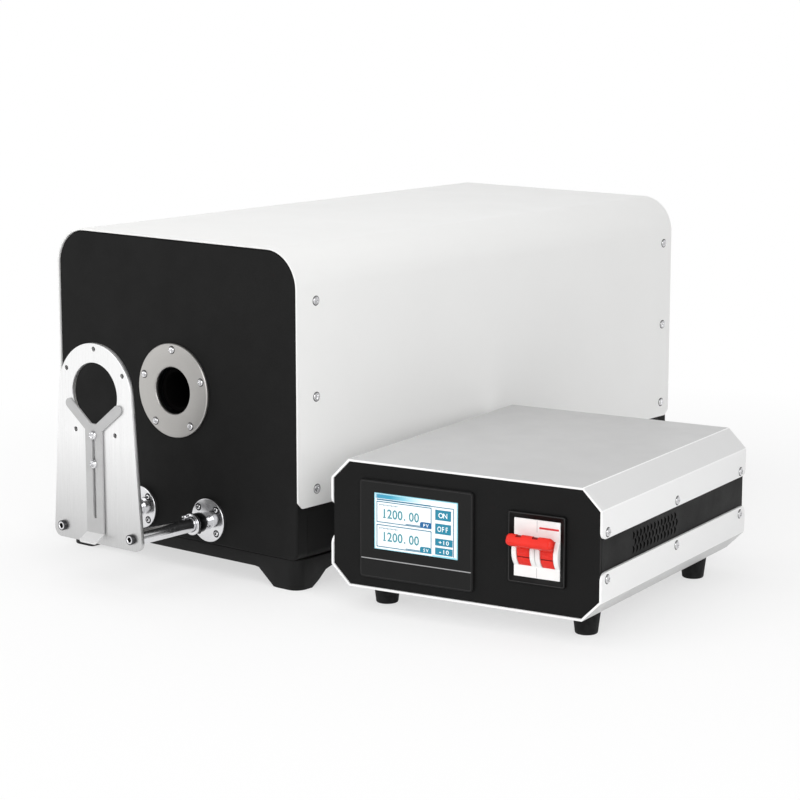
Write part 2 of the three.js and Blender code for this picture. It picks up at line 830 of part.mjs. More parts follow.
// The part of a cutting prism that rounds a shell corner in the y-z plane.
function cornerCutter(y, z, towardY, towardZ) {
  const [farY, farZ] = [y - towardY * overrun, z - towardZ * overrun];
  const centreY = y + towardY * shellCornerRadius;
  const centreZ = z + towardZ * shellCornerRadius;
  const reach = unitHalf + overrun;
  const [nearY, nearZ] = [Math.min(farY, centreY), Math.min(farZ, centreZ)];
  const square = prismX(
    boxShape(nearY, nearZ, Math.max(farY, centreY), Math.max(farZ, centreZ)), -reach, reach,
  );
  const profile = rodProfile(shellCornerRadius, -reach - overrun, reach + overrun);
  return square.subtract(turnedX(profile, centreY, centreZ, midSteps));
}

// Upper (side 1) or lower (side -1) shell: half of the eight-sided sheet sleeve.
function unitShell(side) {
  const sleeve = prismY(unitShape(0), 0, unitDepth)
    .subtract(prismY(unitShape(unitSheet), -overrun, unitDepth + overrun));
  const edge = side > 0 ? upperShellBottom : lowerShellTop;
  const far = edge + side * unitWidth;
  const half = boxShape(-unitWidth, Math.min(edge, far), unitWidth, Math.max(edge, far));
  const keep = prismY(half, -overrun, unitDepth + overrun);
  return sleeve.intersect(keep)
    .subtract(cornerCutter(0, edge, 1, side))
    .subtract(cornerCutter(unitDepth, edge, -1, side));
}

function unitEndPlate(from) {
  return prismY(unitShape(unitSheet + panelClearance), from, from + unitPanelSheet);
}

const screenX = -unitHalf + screenLeft + screenWidth / 2;
const screenZ = unitFeetHeight + screenRise + screenHeight / 2;
const displayX = -unitHalf + screenLeft + displayLeft + displayWidth / 2;
const displayZ = unitFeetHeight + screenRise + displayRise + displayHeight / 2;
const breakerZ = unitFeetHeight + breakerRise;

function centredBox(x, z, width, height) {
  return boxShape(x - width / 2, z - height / 2, x + width / 2, z + height / 2);
}

function centredRound(x, z, width, height, radius) {
  return roundedBox(x - width / 2, z - height / 2, x + width / 2, z + height / 2, radius);
}

const housingWidth = screenWidth - 2 * housingMargin;
const housingHeight = screenHeight - 2 * housingMargin;

function unitFrontPanel() {
  const way = [-overrun, unitPanelBack + overrun];
  const clear = 2 * seatGap;
  const screenHole = centredBox(screenX, screenZ, housingWidth + clear, housingHeight + clear);
  const breakerHole = centredBox(breakerCentre, breakerZ, breakerWidth + clear, breakerHeight + clear);
  return unitEndPlate(unitPanelSetback)
    .subtract(prismY(screenHole, ...way))
    .subtract(prismY(breakerHole, ...way));
}

function unitSocketX(share) {
  return unitWidth * share;
}

function unitRearPanel() {
  const face = unitDepth - unitPanelSetback;
  let body = unitEndPlate(face - unitPanelSheet);
  for (const share of unitSocketShares) {
    const hole = rodProfile(socketRadius + seatGap, face - unitPanelSheet - overrun, face + overrun);
    body = body.subtract(turnedY(hole, unitSocketX(share), unitFeetHeight + unitSocketRise, midSteps));
  }
  return body;
}

// Black strip behind the gap between the shells, with its staggered field of vents.
function sideStrip(side) {
  const outer = side * (unitHalf - unitSheet - seatGap);
  const inner = outer - side * stripSheet;
  const [low, high] = [lowerShellTop - stripLap, upperShellBottom + stripLap];
  const inset = unitPanelBack + seatGap;
  const [from, to] = [Math.min(inner, outer), Math.max(inner, outer)];
  let vents = null;
  for (let row = 0; row < ventRows; row += 1) {
    for (let column = 0; column < ventColumns; column += 1) {
      const y = ventStart + column * ventPitch + (row % 2) * ventPitch / 2;
      const z = unitFeetHeight + ventCentreRise + (row - (ventRows - 1) / 2) * ventRowPitch;
      const [a, b] = [ventLength / 2, ventHeight / 2];
      const slot = polygon([
        [y - a, z], [y - b, z - b], [y + b, z - b], [y + a, z], [y + b, z + b], [y - b, z + b],
      ]);
      const cutter = prismX(slot, from - overrun, to + overrun);
      vents = vents ? vents.add(cutter) : cutter;
    }
  }
  return prismX(boxShape(inset, low, unitDepth - inset, high), from, to).subtract(vents);
}

function unitFoot(x, y) {
  const top = unitFeetHeight - seatGap;
  return turnedZ([
    [0, 0], [unitFootBottomRadius - unitFootEdge, 0], [unitFootBottomRadius, unitFootEdge],
    [unitFootTopRadius, top - unitFootEdge], [unitFootTopRadius - unitFootEdge, top], [0, top],
  ], x, y, midSteps);
}

function screenBezel() {
  const face = unitPanelSetback - seatGap - screenProud;
  const outline = centredRound(screenX, screenZ, screenWidth, screenHeight, screenRadius);
  const hole = centredBox(displayX, displayZ, displayWidth, displayHeight);
  return bevelledY(outline, face, unitPanelSetback - seatGap, screenBevel, 2)
    .subtract(prismY(hole, face - overrun, unitPanelSetback + overrun));
}

function screenDisplay() {
  const face = unitPanelSetback - seatGap - screenProud + displayRecess;
  const clear = 2 * seatGap;
  return prismY(
    centredBox(displayX, displayZ, displayWidth - clear, displayHeight - clear), face, face + displayGlass,
  );
}

function screenHousing() {
  const from = unitPanelSetback + seatGap;
  return prismY(
    centredRound(screenX, screenZ, housingWidth, housingHeight, screenRadius), from, from + housingDepth, 2,
  );
}

function breakerBezel() {
  const face = unitPanelSetback - seatGap - breakerFrameProud;
  const outline = centredRound(breakerCentre, breakerZ, breakerFrameWidth, breakerFrameHeight, breakerFrameRadius);
  const clear = 2 * seatGap;
  const hole = centredBox(breakerCentre, breakerZ, breakerWidth + clear, breakerHeight + clear);
  return bevelledY(outline, face, unitPanelSetback - seatGap, breakerFrameBevel, 2)
    .subtract(prismY(hole, face - overrun, unitPanelSetback + overrun));
}

const breakerFace = unitPanelSetback - breakerProud;
const hubY = breakerFace + hubDepth;
const hubZ = breakerZ - hubDrop;
const poleX = [breakerCentre - poleSpacing / 2, breakerCentre + poleSpacing / 2];

// Case of two poles: each has a round slot between two cheeks, in which its barrel turns.
function breakerBody() {
  const outline = centredBox(breakerCentre, breakerZ, breakerWidth, breakerHeight);
  const slotHalf = barrelWidth / 2 + barrelRunningGap;
  const cheekHalf = slotHalf + cheekWidth;
  const slotRadius = cheekRadius + barrelRunningGap;
  let body = prismY(outline, breakerFace, breakerFace + breakerDepth);
  for (const x of poleX) {
    const cheeks = turnedX(rodProfile(cheekRadius, x - cheekHalf, x + cheekHalf), hubY, hubZ, fineSteps);
    const slot = turnedX(rodProfile(slotRadius, x - slotHalf, x + slotHalf), hubY, hubZ, fineSteps);
    body = body.add(cheeks).subtract(slot);
  }
  return body;
}

function toggleBarrel(x) {
  const half = barrelWidth / 2;
  return turnedX(rodProfile(barrelRadius, x - half, x + half), hubY, hubZ, fineSteps);
}

// Tie bar and two levers, drawn pointing straight out and then tilted up to the ON position.
function breakerToggle() {
  const [halfThick, halfHigh] = [toggleBarThickness / 2, toggleBarHeight / 2];
  const bar = roundedBox(
    -toggleReach - halfThick, -halfHigh, -toggleReach + halfThick, halfHigh, toggleBarRadius,
  );
  const [from, to] = [breakerCentre - toggleBarWidth / 2, breakerCentre + toggleBarWidth / 2];
  const lever = boxShape(-toggleReach, -toggleLeverThickness / 2, 0, toggleLeverThickness / 2);
  const barrel = turnedX(rodProfile(barrelRadius + seatGap, from, to), 0, 0, fineSteps);
  let body = prismX(bar, from, to, 4);
  for (const x of poleX) {
    body = body.add(prismX(lever, x - barrelWidth / 2, x + barrelWidth / 2).subtract(barrel));
  }
  return body.rotate([-toggleAngle, 0, 0]).translate([0, hubY, hubZ]);
}

// Inside the control unit: a deck on the lower shell and what stands on it

const deckTop = unitFeetHeight + unitSheet + deckRise + deckSheet;
const sinkY = unitDepth - sinkFromRear;
const supplyY = unitDepth - supplyFromRear;
const terminalY = unitDepth - terminalFromRear;

function block(x, y, width, length, height, low = deckTop + seatGap) {
  return prismZ(boxShape(x - width / 2, y - length / 2, x + width / 2, y + length / 2), low, low + height);
}

function unitDeck() {
  const half = unitHalf - deckMargin;
  const low = unitFeetHeight + unitSheet + seatGap;
  const far = unitDepth - unitPanelBack - deckMargin;
  const near = unitPanelBack + housingDepth + deckMargin;
  const sheet = prismZ(boxShape(-half, near, half, far), deckTop - deckSheet, deckTop);
  const rail = [-half, half - deckMargin]
    .map((x) => prismZ(boxShape(x, near, x + deckMargin, far), low, deckTop));
  return sheet.add(rail[0]).add(rail[1]);
}

// Finned heat sink with the relay on its flat side.
function heatSink() {
  const low = deckTop + seatGap;
  let body = block(sinkX, sinkY, sinkWidth, sinkLength, sinkHeight);
  const pitch = (sinkWidth - sinkFinThickness) / (sinkFins - 1);
  for (let fin = 0; fin < sinkFins - 1; fin += 1) {
    const from = sinkX - sinkWidth / 2 + fin * pitch + sinkFinThickness;
    const gap = boxShape(from, low - overrun, from + pitch - sinkFinThickness, low + sinkHeight - sinkBase);
    body = body.subtract(prismY(gap, sinkY - sinkLength, sinkY + sinkLength));
  }
  return body;
}

function solidStateRelay() {
  return block(sinkX, sinkY, relayWidth, relayLength, relayHeight, deckTop + 2 * seatGap + sinkHeight);
}

function powerSupply() {
  return block(supplyX, supplyY, supplyWidth, supplyLength, supplyHeight);
}

// Terminal strip: a base with raised barriers between its ways.
function terminalStrip() {
  const low = deckTop + seatGap;
  let body = block(terminalX, terminalY, terminalWidth, terminalDepth, terminalHeight / 2);
  const pitch = (terminalWidth - terminalBarrier) / terminalWays;
  const [near, far] = [terminalY - terminalDepth / 2, terminalY + terminalDepth / 2];
  for (let way = 0; way <= terminalWays; way += 1) {
    const from = terminalX - terminalWidth / 2 + way * pitch;
    const shape = boxShape(from, near, from + terminalBarrier, far);
    body = body.add(prismZ(shape, low, low + terminalHeight));
  }
  return body;
}

// Assembly

function buildFurnace() {
  const group = new THREE.Group();
  const f = finishes;
  node("outer_cover", outerCover(), f.whiteCoat, group);
  node("front_panel", frontPanel(), f.blackCoat, group);
  node("rear_panel", rearPanel(), f.blackCoat, group);
  node("chassis_tray", chassisTray(), f.blackCoat, group);
  node("base_plinth", basePlinth(), f.blackPlastic, group);
  node("mouth_flange_front", mouthFlange(panelSetback, -1), f.brushedSteel, group);
  node("mouth_flange_rear", mouthFlange(caseLength - panelSetback, 1), f.brushedSteel, group);
  node("furnace_tube", furnaceTube(), f.darkCeramic, group);
  node("heater_core", heaterCore(), f.ceramic, group);
  node("insulation_upper", insulationHalf(1), f.fibre, group);
  node("insulation_lower", insulationHalf(-1), f.fibre, group);
  node("inner_drum", innerDrum(), f.brushedSteel, group);
  node("drum_cap_front", drumCap(drumInset), f.brushedSteel, group);
  node("drum_cap_rear", drumCap(caseLength - drumInset - capThickness), f.brushedSteel, group);
  const cradleRear = caseLength - cradleInset - cradleFoot;
  node("drum_cradle_front", drumCradle(cradleInset, true), f.brushedSteel, group);
  node("drum_cradle_rear", drumCradle(cradleRear, false), f.brushedSteel, group);
  node("control_thermocouple", controlThermocouple(), f.ceramic, group);
  for (const [side, sign] of [["left", -1], ["right", 1]]) {
    const x = sign * guideSpacing / 2;
    node(`guide_bushing_${side}`, guideBushing(x), f.chrome, group);
    node(`lock_collar_${side}`, lockCollar(x), f.darkSteel, group);
  }
  const rearFace = caseLength - panelSetback;
  for (const [name, sign] of [["heater_power_socket", 1], ["sensor_socket", -1]]) {
    const socket = panelSocket(sign * furnaceSocketSpacing / 2, furnaceSocketHeight);
    node(name, socket.rotate([0, 0, 180]).translate([0, rearFace, 0]), f.aluminium, group);
  }
  return group;
}

function buildStand() {
  const group = new THREE.Group();
  const f = finishes;
  node("stand_plate", standPlate(), f.brushedSteel, group);
  for (const [side, sign] of [["left", -1], ["right", 1]]) {
    const x = sign * guideSpacing / 2;
    node(`guide_rod_${side}`, guideRod(x), f.chrome, group);
    node(`rod_bolt_${side}`, rodBolt(x), f.chrome, group);
  }
  node("bracket_screw_upper", bracketScrew(restScrewUpper), f.chrome, group);
  node("bracket_screw_lower", bracketScrew(restScrewLower), f.chrome, group);
  node("v_bracket", vBracket(), f.brushedSteel, group);
  return group;
}

function buildControlUnit() {
  const group = new THREE.Group();
  const f = finishes;
  node("unit_top_shell", unitShell(1), f.greyCoat, group);
  node("unit_bottom_shell", unitShell(-1), f.whiteCoat, group);
  node("unit_front_panel", unitFrontPanel(), f.blackCoat, group);
  node("unit_rear_panel", unitRearPanel(), f.blackCoat, group);
  node("unit_side_strip_left", sideStrip(-1), f.blackCoat, group);
  node("unit_side_strip_right", sideStrip(1), f.blackCoat, group);
  const footX = unitHalf - unitFootInsetSide;
  for (const [end, y] of [["front", unitFootInsetEnd], ["rear", unitDepth - unitFootInsetEnd]]) {
    node(`unit_foot_${end}_left`, unitFoot(-footX, y), f.rubber, group);
    node(`unit_foot_${end}_right`, unitFoot(footX, y), f.rubber, group);
  }
  node("screen_bezel", screenBezel(), f.blackPlastic, group);
  node("screen_display", screenDisplay(), f.glass, group);
  node("screen_housing", screenHousing(), f.blackPlastic, group);
  node("breaker_bezel", breakerBezel(), f.blackPlastic, group);
  node("breaker_body", breakerBody(), f.whitePlastic, group);
  node("breaker_toggle", breakerToggle(), f.redPlastic, group);
  node("toggle_hub_left", toggleBarrel(poleX[0]), f.redPlastic, group);
  node("toggle_hub_right", toggleBarrel(poleX[1]), f.redPlastic, group);
  node("unit_deck", unitDeck(), f.aluminium, group);
  node("heat_sink", heatSink(), f.aluminium, group);
  node("solid_state_relay", solidStateRelay(), f.blackPlastic, group);
  node("power_supply", powerSupply(), f.aluminium, group);
  node("terminal_strip", terminalStrip(), f.blackPlastic, group);
  const names = ["unit_mains_socket", "unit_heater_socket", "unit_sensor_socket"];
  names.forEach((name, i) => {
    const socket = panelSocket(-unitSocketX(unitSocketShares[i]), unitFeetHeight + unitSocketRise);
    const face = unitDepth - unitPanelSetback;
    node(name, socket.rotate([0, 0, 180]).translate([0, face, 0]), f.aluminium, group);
  });
  return group;
}

// The unit stands beside the furnace, turned a little, its nearest corner unitGap from the cover.
const turn = radians(unitTurn);
const unit = buildControlUnit();
unit.rotation.z = turn;
unit.position.set(
  caseWidth / 2 + unitGap + unitHalf * Math.cos(turn) + unitDepth * Math.sin(turn), unitSetback, 0,
);

// The whole set is centred over the origin, standing on z = 0.
const whole = new THREE.Group();
whole.add(buildFurnace(), buildStand(), unit);
whole.updateMatrixWorld(true);
const reach = new THREE.Box3().setFromObject(whole, true);
const middle = reach.getCenter(new THREE.Vector3());
whole.position.set(-middle.x, -middle.y, -reach.min.z);
whole.updateMatrixWorld(true);

export default whole;
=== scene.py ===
import math
from collections import namedtuple

import bmesh
import bpy
import numpy as np
from bpy.props import FloatProperty, FloatVectorProperty, PointerProperty
from mathutils import Euler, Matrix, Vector, geometry


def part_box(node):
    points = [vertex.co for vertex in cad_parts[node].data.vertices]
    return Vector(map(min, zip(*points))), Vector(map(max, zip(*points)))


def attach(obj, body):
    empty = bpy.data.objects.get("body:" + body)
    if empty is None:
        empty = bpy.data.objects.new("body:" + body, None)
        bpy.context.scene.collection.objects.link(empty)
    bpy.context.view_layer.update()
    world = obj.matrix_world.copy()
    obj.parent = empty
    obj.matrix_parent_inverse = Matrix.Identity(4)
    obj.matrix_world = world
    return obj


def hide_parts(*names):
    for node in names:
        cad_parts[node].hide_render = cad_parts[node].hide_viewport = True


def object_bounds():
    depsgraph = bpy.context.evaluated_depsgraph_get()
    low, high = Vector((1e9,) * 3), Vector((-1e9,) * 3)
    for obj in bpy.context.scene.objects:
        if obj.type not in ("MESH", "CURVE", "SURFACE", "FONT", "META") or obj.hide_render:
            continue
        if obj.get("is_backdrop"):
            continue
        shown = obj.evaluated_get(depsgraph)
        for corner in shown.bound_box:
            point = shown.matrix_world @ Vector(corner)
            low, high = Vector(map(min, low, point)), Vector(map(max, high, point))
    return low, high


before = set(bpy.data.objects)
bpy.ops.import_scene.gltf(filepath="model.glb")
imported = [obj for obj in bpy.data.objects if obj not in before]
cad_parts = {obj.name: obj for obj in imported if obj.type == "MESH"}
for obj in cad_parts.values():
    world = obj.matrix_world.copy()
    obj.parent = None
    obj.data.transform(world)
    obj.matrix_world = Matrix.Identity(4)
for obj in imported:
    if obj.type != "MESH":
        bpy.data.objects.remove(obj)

bl_info = {
    "name": "Thermocouple calibration furnace",
    "version": (1, 0, 0),
    "blender": (4, 5, 0),
    "location": "3D View > Sidebar > Furnace",
    "description": "Dresses a packed calibration furnace and its control unit with finished surfaces",
    "category": "Object",
}

# Lengths below are in millimetres. Furnace frame: y = 0 is the cover's front edge, x = 0 the bore,
# z = 0 the table. Unit frame: y = 0 is the control unit's front edge, x = 0 its middle.
MM = 0.001
WELD = 0.002 * MM
SHARP = math.radians(35)
TURN_STEPS = 96
SMALL_STEPS = 48
GAP = 0.3

# Furnace casing
CASE_WIDTH, CASE_TOP, CASE_LENGTH = 362, 365, 700
CASE_RADIUS, COVER_SHEET, COVER_BOTTOM, COVER_CORNER = 42, 2, 91, 7
BODY_BOTTOM, BODY_FOOT_RADIUS, PANEL_SHEET, PANEL_DEPTH, PANEL_SETBACK = 34, 9, 2, 16, 1
PANEL_EDGE = 2.4
PANEL_HALF = CASE_WIDTH / 2 - COVER_SHEET - 0.5
PANEL_TOP = CASE_TOP - COVER_SHEET - 0.5
PANEL_RADIUS = CASE_RADIUS - COVER_SHEET - 0.5
TRAY_TOP = 111
COVER_SCREWS_Y, COVER_SCREWS_Z, COVER_SCREW_RISE = (30, CASE_LENGTH - 17), (310, 208, 109), 1.6
REAR_SOCKET_X, REAR_SOCKET_Z = 40, 75

# Plinth
PLINTH_HALF, PLINTH_NEAR, PLINTH_RADIUS, PLINTH_WALL = PANEL_HALF - 4, 5, 13, 4
PLINTH_TOP, PLINTH_ROOF, PLINTH_EDGE = BODY_BOTTOM - GAP, 4, 1.5
FOOT_HEIGHT, FOOT_WIDTH, FOOT_LENGTH, FOOT_SLANT, FOOT_CORNER, FOOT_LAP = 19, 57, 50, 23, 15, 1.5

# Bore, flanges and tube
BORE_HEIGHT, TUBE_BORE, TUBE_OUTER, TUBE_INSET = 198, 20, 25, 7
MOUTH_OUTER, MOUTH_OPENING, MOUTH_THICKNESS, MOUTH_BEVEL = 52, 26, 3, 0.9
MOUTH_SCREW_CIRCLE, MOUTH_SCREW_RISE, MOUTH_SCREW_ANGLES = 45, 2.2, (90, 18, 162, 234, 306)

# Guides and stand
GUIDE_X, GUIDE_HEIGHT, ROD_RADIUS, ROD_BORE, ROD_LENGTH = 52, 61.5, 8, 8.4, 300
BUSH_FLANGE, BUSH_FLANGE_THICK, BUSH_BODY, BUSH_BACK, BUSH_SEAM = 24, 5, 14, 38, 20
BUSH_SCREW_CIRCLE, BUSH_SCREW_RISE, BUSH_SCREW_ANGLES = 18.5, 1.3, (45, 135, 225, 315)
BUSH_COUNTERBORE, BUSH_SCREW_HEXAGON = 4.1, 1.4
NOSE_RADIUS, NOSE_LENGTH = 9.8, 10.7
COLLAR_RADIUS, COLLAR_LENGTH, COLLAR_RING, COLLAR_RING_LENGTH = 10.8, 11, 11.8, 3.6
TONGUE_WIDTH, TONGUE_THICKNESS, TONGUE_REACH, TONGUE_TILT = 6, 1.8, 9, 16
BOLT_HEAD, BOLT_HEIGHT, BOLT_SHANK, BOLT_HEXAGON, BOLT_REACH = 5.504, 3.68, 4, 2.6, 16
PLATE_FRONT, PLATE_BACK, BOLT_HOLE, PLATE_SCREW_HOLE = -118, -113, 4.4, 2.3
# Painted shade on the stand plate: the share of its tone at the foot, and the heights between which it grows
# to the whole.
PLATE_SHADE, PLATE_SHADE_LOW, PLATE_SHADE_HIGH = 0.52, 20, 165
RING_HEIGHT, RING_OUTER, RING_HOLE = 210, 54.5, 34
PLATE_FOOT_WIDTH, PLATE_FOOT_BOTTOM, PLATE_FOOT_RADIUS = 132, 48.5, 10
FIXTURE_CIRCLE, FIXTURE_RADIUS, FIXTURE_ANGLES = 48.5, 2.6, (30, 90, 150)
FIXTURE_LOW = (29.7, RING_HEIGHT - 40.4)
REST_BACK, REST_SHEET = PLATE_FRONT - GAP, 2.5
REST_FRONT = REST_BACK - REST_SHEET
REST_WIDTH, REST_VERTEX, REST_FLAT = 25, 179, 8
ARM_ANGLE, ARM_LENGTH, ARM_TIP = 38, 36.5, 5.4
REST_BEND, REST_BEND_RADIUS, TAB_LENGTH, TAB_ANGLE, TAB_CORNER = 63, 2, 14.4, 60, 3
SLOT_TOP, SLOT_BOTTOM, SLOT_HALF = 170, 77, 2.4
REST_SCREWS, REST_SCREW_RADIUS, REST_SCREW_HEIGHT = (167, 136), 5, 3.2

# Control unit
UNIT_WIDTH, UNIT_HEIGHT, UNIT_DEPTH, UNIT_CHAMFER, UNIT_FEET = 310, 134, 352, 21, 25
UNIT_SHEET, UNIT_TURN = 2.5, 8.8
LOWER_EDGE, UPPER_EDGE, SHELL_CORNER = UNIT_FEET + 50.5, UNIT_FEET + 84, 8
UNIT_PANEL_SETBACK, UNIT_PANEL_SHEET = 1.2, 4
UNIT_SCREWS_Y, UNIT_SCREWS_Z, UNIT_SCREW_RISE = (12.5, 174, 338), (UPPER_EDGE + 6, LOWER_EDGE - 7.5), 1.9
UNIT_FOOT_TOP, UNIT_FOOT_BOTTOM, UNIT_FOOT_INSET_X, UNIT_FOOT_INSET_Y = 14.5, 11.5, 39, 47
STRIP_LAP, STRIP_SHEET = 8, 2
VENT_ROWS, VENT_COLUMNS, VENT_PITCH, VENT_ROW_PITCH = 3, 13, 8.2, 7.4
VENT_START, VENT_MIDDLE, VENT_HALF, VENT_REACH, VENT_BOW = 76, UNIT_FEET + 66, 2.05, 4.4, 2.6
SCREEN_WIDTH, SCREEN_HEIGHT, SCREEN_PROUD, SCREEN_RADIUS = 132.5, 102.5, 3, 4
SCREEN_X, SCREEN_Z = -UNIT_WIDTH / 2 + 35.5 + SCREEN_WIDTH / 2, UNIT_FEET + 13 + SCREEN_HEIGHT / 2
SCREEN_LINE_Z = UNIT_FEET + 33.5
DISPLAY_WIDTH, DISPLAY_HEIGHT, DISPLAY_RECESS = 98, 59, 0.8
DISPLAY_X = -UNIT_WIDTH / 2 + 35.5 + 17 + DISPLAY_WIDTH / 2
DISPLAY_Z = UNIT_FEET + 13 + 31 + DISPLAY_HEIGHT / 2
BREAKER_X, BREAKER_Z, BREAKER_WIDTH, BREAKER_HEIGHT, BREAKER_DEPTH = 84, UNIT_FEET + 66.5, 51, 59, 62
BREAKER_FACE = UNIT_PANEL_SETBACK - 1.5
FRAME_WIDTH, FRAME_HEIGHT, FRAME_PROUD, FRAME_RADIUS = 64, 72.5, 2.5, 3
POLES = (BREAKER_X - 13, BREAKER_X + 13)
BARREL_RADIUS, BARREL_WIDTH, CHEEK_RADIUS = 19.6, 14, 20
CHEEK_REACH, HUB_DEPTH = 12.6, 14.5
HUB_Y, HUB_Z = BREAKER_FACE + HUB_DEPTH, BREAKER_Z - 4
CHORD = math.sqrt(CHEEK_RADIUS ** 2 - HUB_DEPTH ** 2)
TOGGLE_REACH, TOGGLE_ANGLE, LEVER_FOOT, LEVER_TIP = 32.6, 26, 5.2, 4.0
BAR_HEIGHT, BAR_THICK, BAR_WIDTH, BAR_CORNER, BAR_STRAIGHT = 12, 10, 52, 3.6, 0.82
WELL_PLACES, WELL_HALF, WELL_HEIGHT, WELL_DEPTH = (-0.45, 0.26), 0.125, 3.8, 0.14
GROOVE_ANGLES, GROOVE_WIDTH, GROOVE_DEPTHS = (2, 13), 0.03, (0.5, 0.9)

# Stage
FLOOR_DROP, FLOOR_RINGS = 0.05, (0, 900, 4000, 30000)
SENSOR_WIDTH, FOCAL_LENGTH, CAMERA_PLACE = 36, 110.94, (1873.7, -1879.1, 675.7)
CAMERA_PITCH, CAMERA_TURN = 10.47, 39.59

# Rear connectors
SOCKET_RADIUS, SOCKET_FLANGE, SOCKET_RISE, SOCKET_BEHIND, SOCKET_PLATE = 13, 34, 12, 18, 2.8
SOCKET_SCREWS, PIN_CIRCLE, THREAD_PITCH, THREAD_DEPTH = 12.8, 5.5, 1.5, 0.35
UNIT_SOCKETS, UNIT_SOCKET_Z = (("mains", 0.27), ("heater", 0), ("sensor", -0.27)), UNIT_FEET + 60


def box_middle(*nodes):
    """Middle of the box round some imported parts, in millimetres."""
    corners = np.array([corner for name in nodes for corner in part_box(name)]) / MM
    return (corners.min(0) + corners.max(0)) / 2


CAD_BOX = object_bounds()
FURNACE_ORIGIN = box_middle("outer_cover") - [0, CASE_LENGTH / 2, 0]
FURNACE_ORIGIN[2] = 0
UNIT_MIDDLE = box_middle("unit_top_shell", "unit_bottom_shell")
UNIT_MIDDLE[2] = 0


def on_furnace(points):
    """Furnace frame to the frame of the whole set: a shift."""
    return points + FURNACE_ORIGIN


def on_unit(points):
    """Unit frame to the frame of the whole set: a turn about the upright, then a shift."""
    turn = math.radians(UNIT_TURN)
    x, y, z = points[..., 0], points[..., 1] - UNIT_DEPTH / 2, points[..., 2]
    turned_x = x * math.cos(turn) - y * math.sin(turn)
    turned_y = x * math.sin(turn) + y * math.cos(turn)
    return np.stack([turned_x, turned_y, z], -1) + UNIT_MIDDLE


# Outlines

def filleted(points, radii, steps=8, closed=True):
    """A polyline with round corners: corner i becomes an arc of radii[i] that touches both sides,
    its angle running evenly from one tangent point to the other in steps chords."""
    points = np.asarray(points, float)
    count = len(points)
    out = []
    for i, (corner, radius) in enumerate(zip(points, radii)):
        if radius <= 0 or (not closed and i in (0, count - 1)):
            out.append(corner[None])
            continue
        before = points[i - 1] - corner
        after = points[(i + 1) % count] - corner
        before, after = before / np.linalg.norm(before), after / np.linalg.norm(after)
        half = math.acos(np.clip(before @ after, -1, 1)) / 2
        middle = before + after
        centre = corner + middle / np.linalg.norm(middle) * radius / math.sin(half)
        first = corner + before * radius / math.tan(half) - centre
        last = corner + after * radius / math.tan(half) - centre
        sweep = math.pi - 2 * half
        t = np.linspace(0, 1, steps + 1)[:, None]
        arc = first * np.sin((1 - t) * sweep) + last * np.sin(t * sweep)
        out.append(centre + arc / math.sin(sweep))
    return np.concatenate(out)


def rounded_box(x, z, width, height, radius, steps=8):
    """Outline of a box about (x, z) with four equal round corners, anticlockwise."""
    a, b = width / 2, height / 2
    corners = [(x - a, z - b), (x + a, z - b), (x + a, z + b), (x - a, z + b)]
    return filleted(corners, [radius] * 4, steps)


def circle(x, z, radius, steps=SMALL_STEPS):
    """Outline of a circle, anticlockwise: (x + r cos a, z + r sin a)."""
    a = np.arange(steps) / steps * 2 * math.pi
    return np.stack([x + radius * np.cos(a), z + radius * np.sin(a)], -1)


def round_at(x, z, radius, degrees):
    """Place on a circle about (x, z): (x + r cos a, z + r sin a)."""
    a = math.radians(degrees)
    return x + radius * math.cos(a), z + radius * math.sin(a)


def grown(loop, distance):
    """An anticlockwise loop moved outwards by distance: each corner goes along the sum of its two
    edge normals over one plus their dot product, which keeps every edge parallel."""
    edge = np.roll(loop, -1, 0) - loop
    normal = np.stack([edge[:, 1], -edge[:, 0]], -1)
    normal /= np.linalg.norm(normal, axis=1, keepdims=True)
    before = np.roll(normal, 1, 0)
    scale = 1 + (normal * before).sum(1, keepdims=True)
    return loop + distance * (normal + before) / scale


def sheet_loop(line, thickness):
    """Closed outline of a bent sheet: the open line, then the line moved to its left by thickness."""
    edge = np.diff(line, axis=0)
    normal = np.stack([-edge[:, 1], edge[:, 0]], -1)
    normal /= np.linalg.norm(normal, axis=1, keepdims=True)
    before = np.vstack([normal[:1], normal])
    after = np.vstack([normal, normal[-1:]])
    inner = line + thickness * (before + after) / (1 + (before * after).sum(1, keepdims=True))
    return np.vstack([line, inner[::-1]])


def rim(front, back, front_round, back_round=0, steps=4):
    """Section of a plate's edge as (inset, depth) pairs: a quarter circle off the front face,
    the straight side, and a quarter circle onto the back face."""
    t = np.linspace(0, math.pi / 2, steps + 1)
    pairs = []
    if front_round > 0:
        pairs += list(zip(front_round * (1 - np.sin(t)), front + front_round * (1 - np.cos(t))))
    else:
        pairs.append((0, front))
    if back_round > 0:
        pairs += list(zip(back_round * (1 - np.cos(t)), back - back_round * (1 - np.sin(t))))
    else:
        pairs.append((0, back))
    return pairs


# Ways to carry an outline through space

def along_y(points, depth):
    """Outline (x, z) at y = depth."""
    return np.stack([points[:, 0], np.full(len(points), float(depth)), points[:, 1]], -1)


def along_x(points, depth):
    """Outline (y, z) at x = depth."""
    return np.stack([np.full(len(points), float(depth)), points[:, 0], points[:, 1]], -1)


def along_z(points, depth):
    """Outline (x, y) at z = depth."""
    return np.stack([points[:, 0], points[:, 1], np.full(len(points), float(depth))], -1)


# Faces and meshes

def inside(points, loop):
    """Even-odd test: how often a ray to the right of each point crosses the loop."""
    a, b = loop, np.roll(loop, -1, 0)
    x, z = points[:, :1], points[:, 1:]
    spans = (a[:, 1] > z) != (b[:, 1] > z)
    rise = np.where(b[:, 1] == a[:, 1], 1e-12, b[:, 1] - a[:, 1])
    meets = a[:, 0] + (z - a[:, 1]) * (b[:, 0] - a[:, 0]) / rise
    return (spans & (x < meets)).sum(1) % 2 == 1


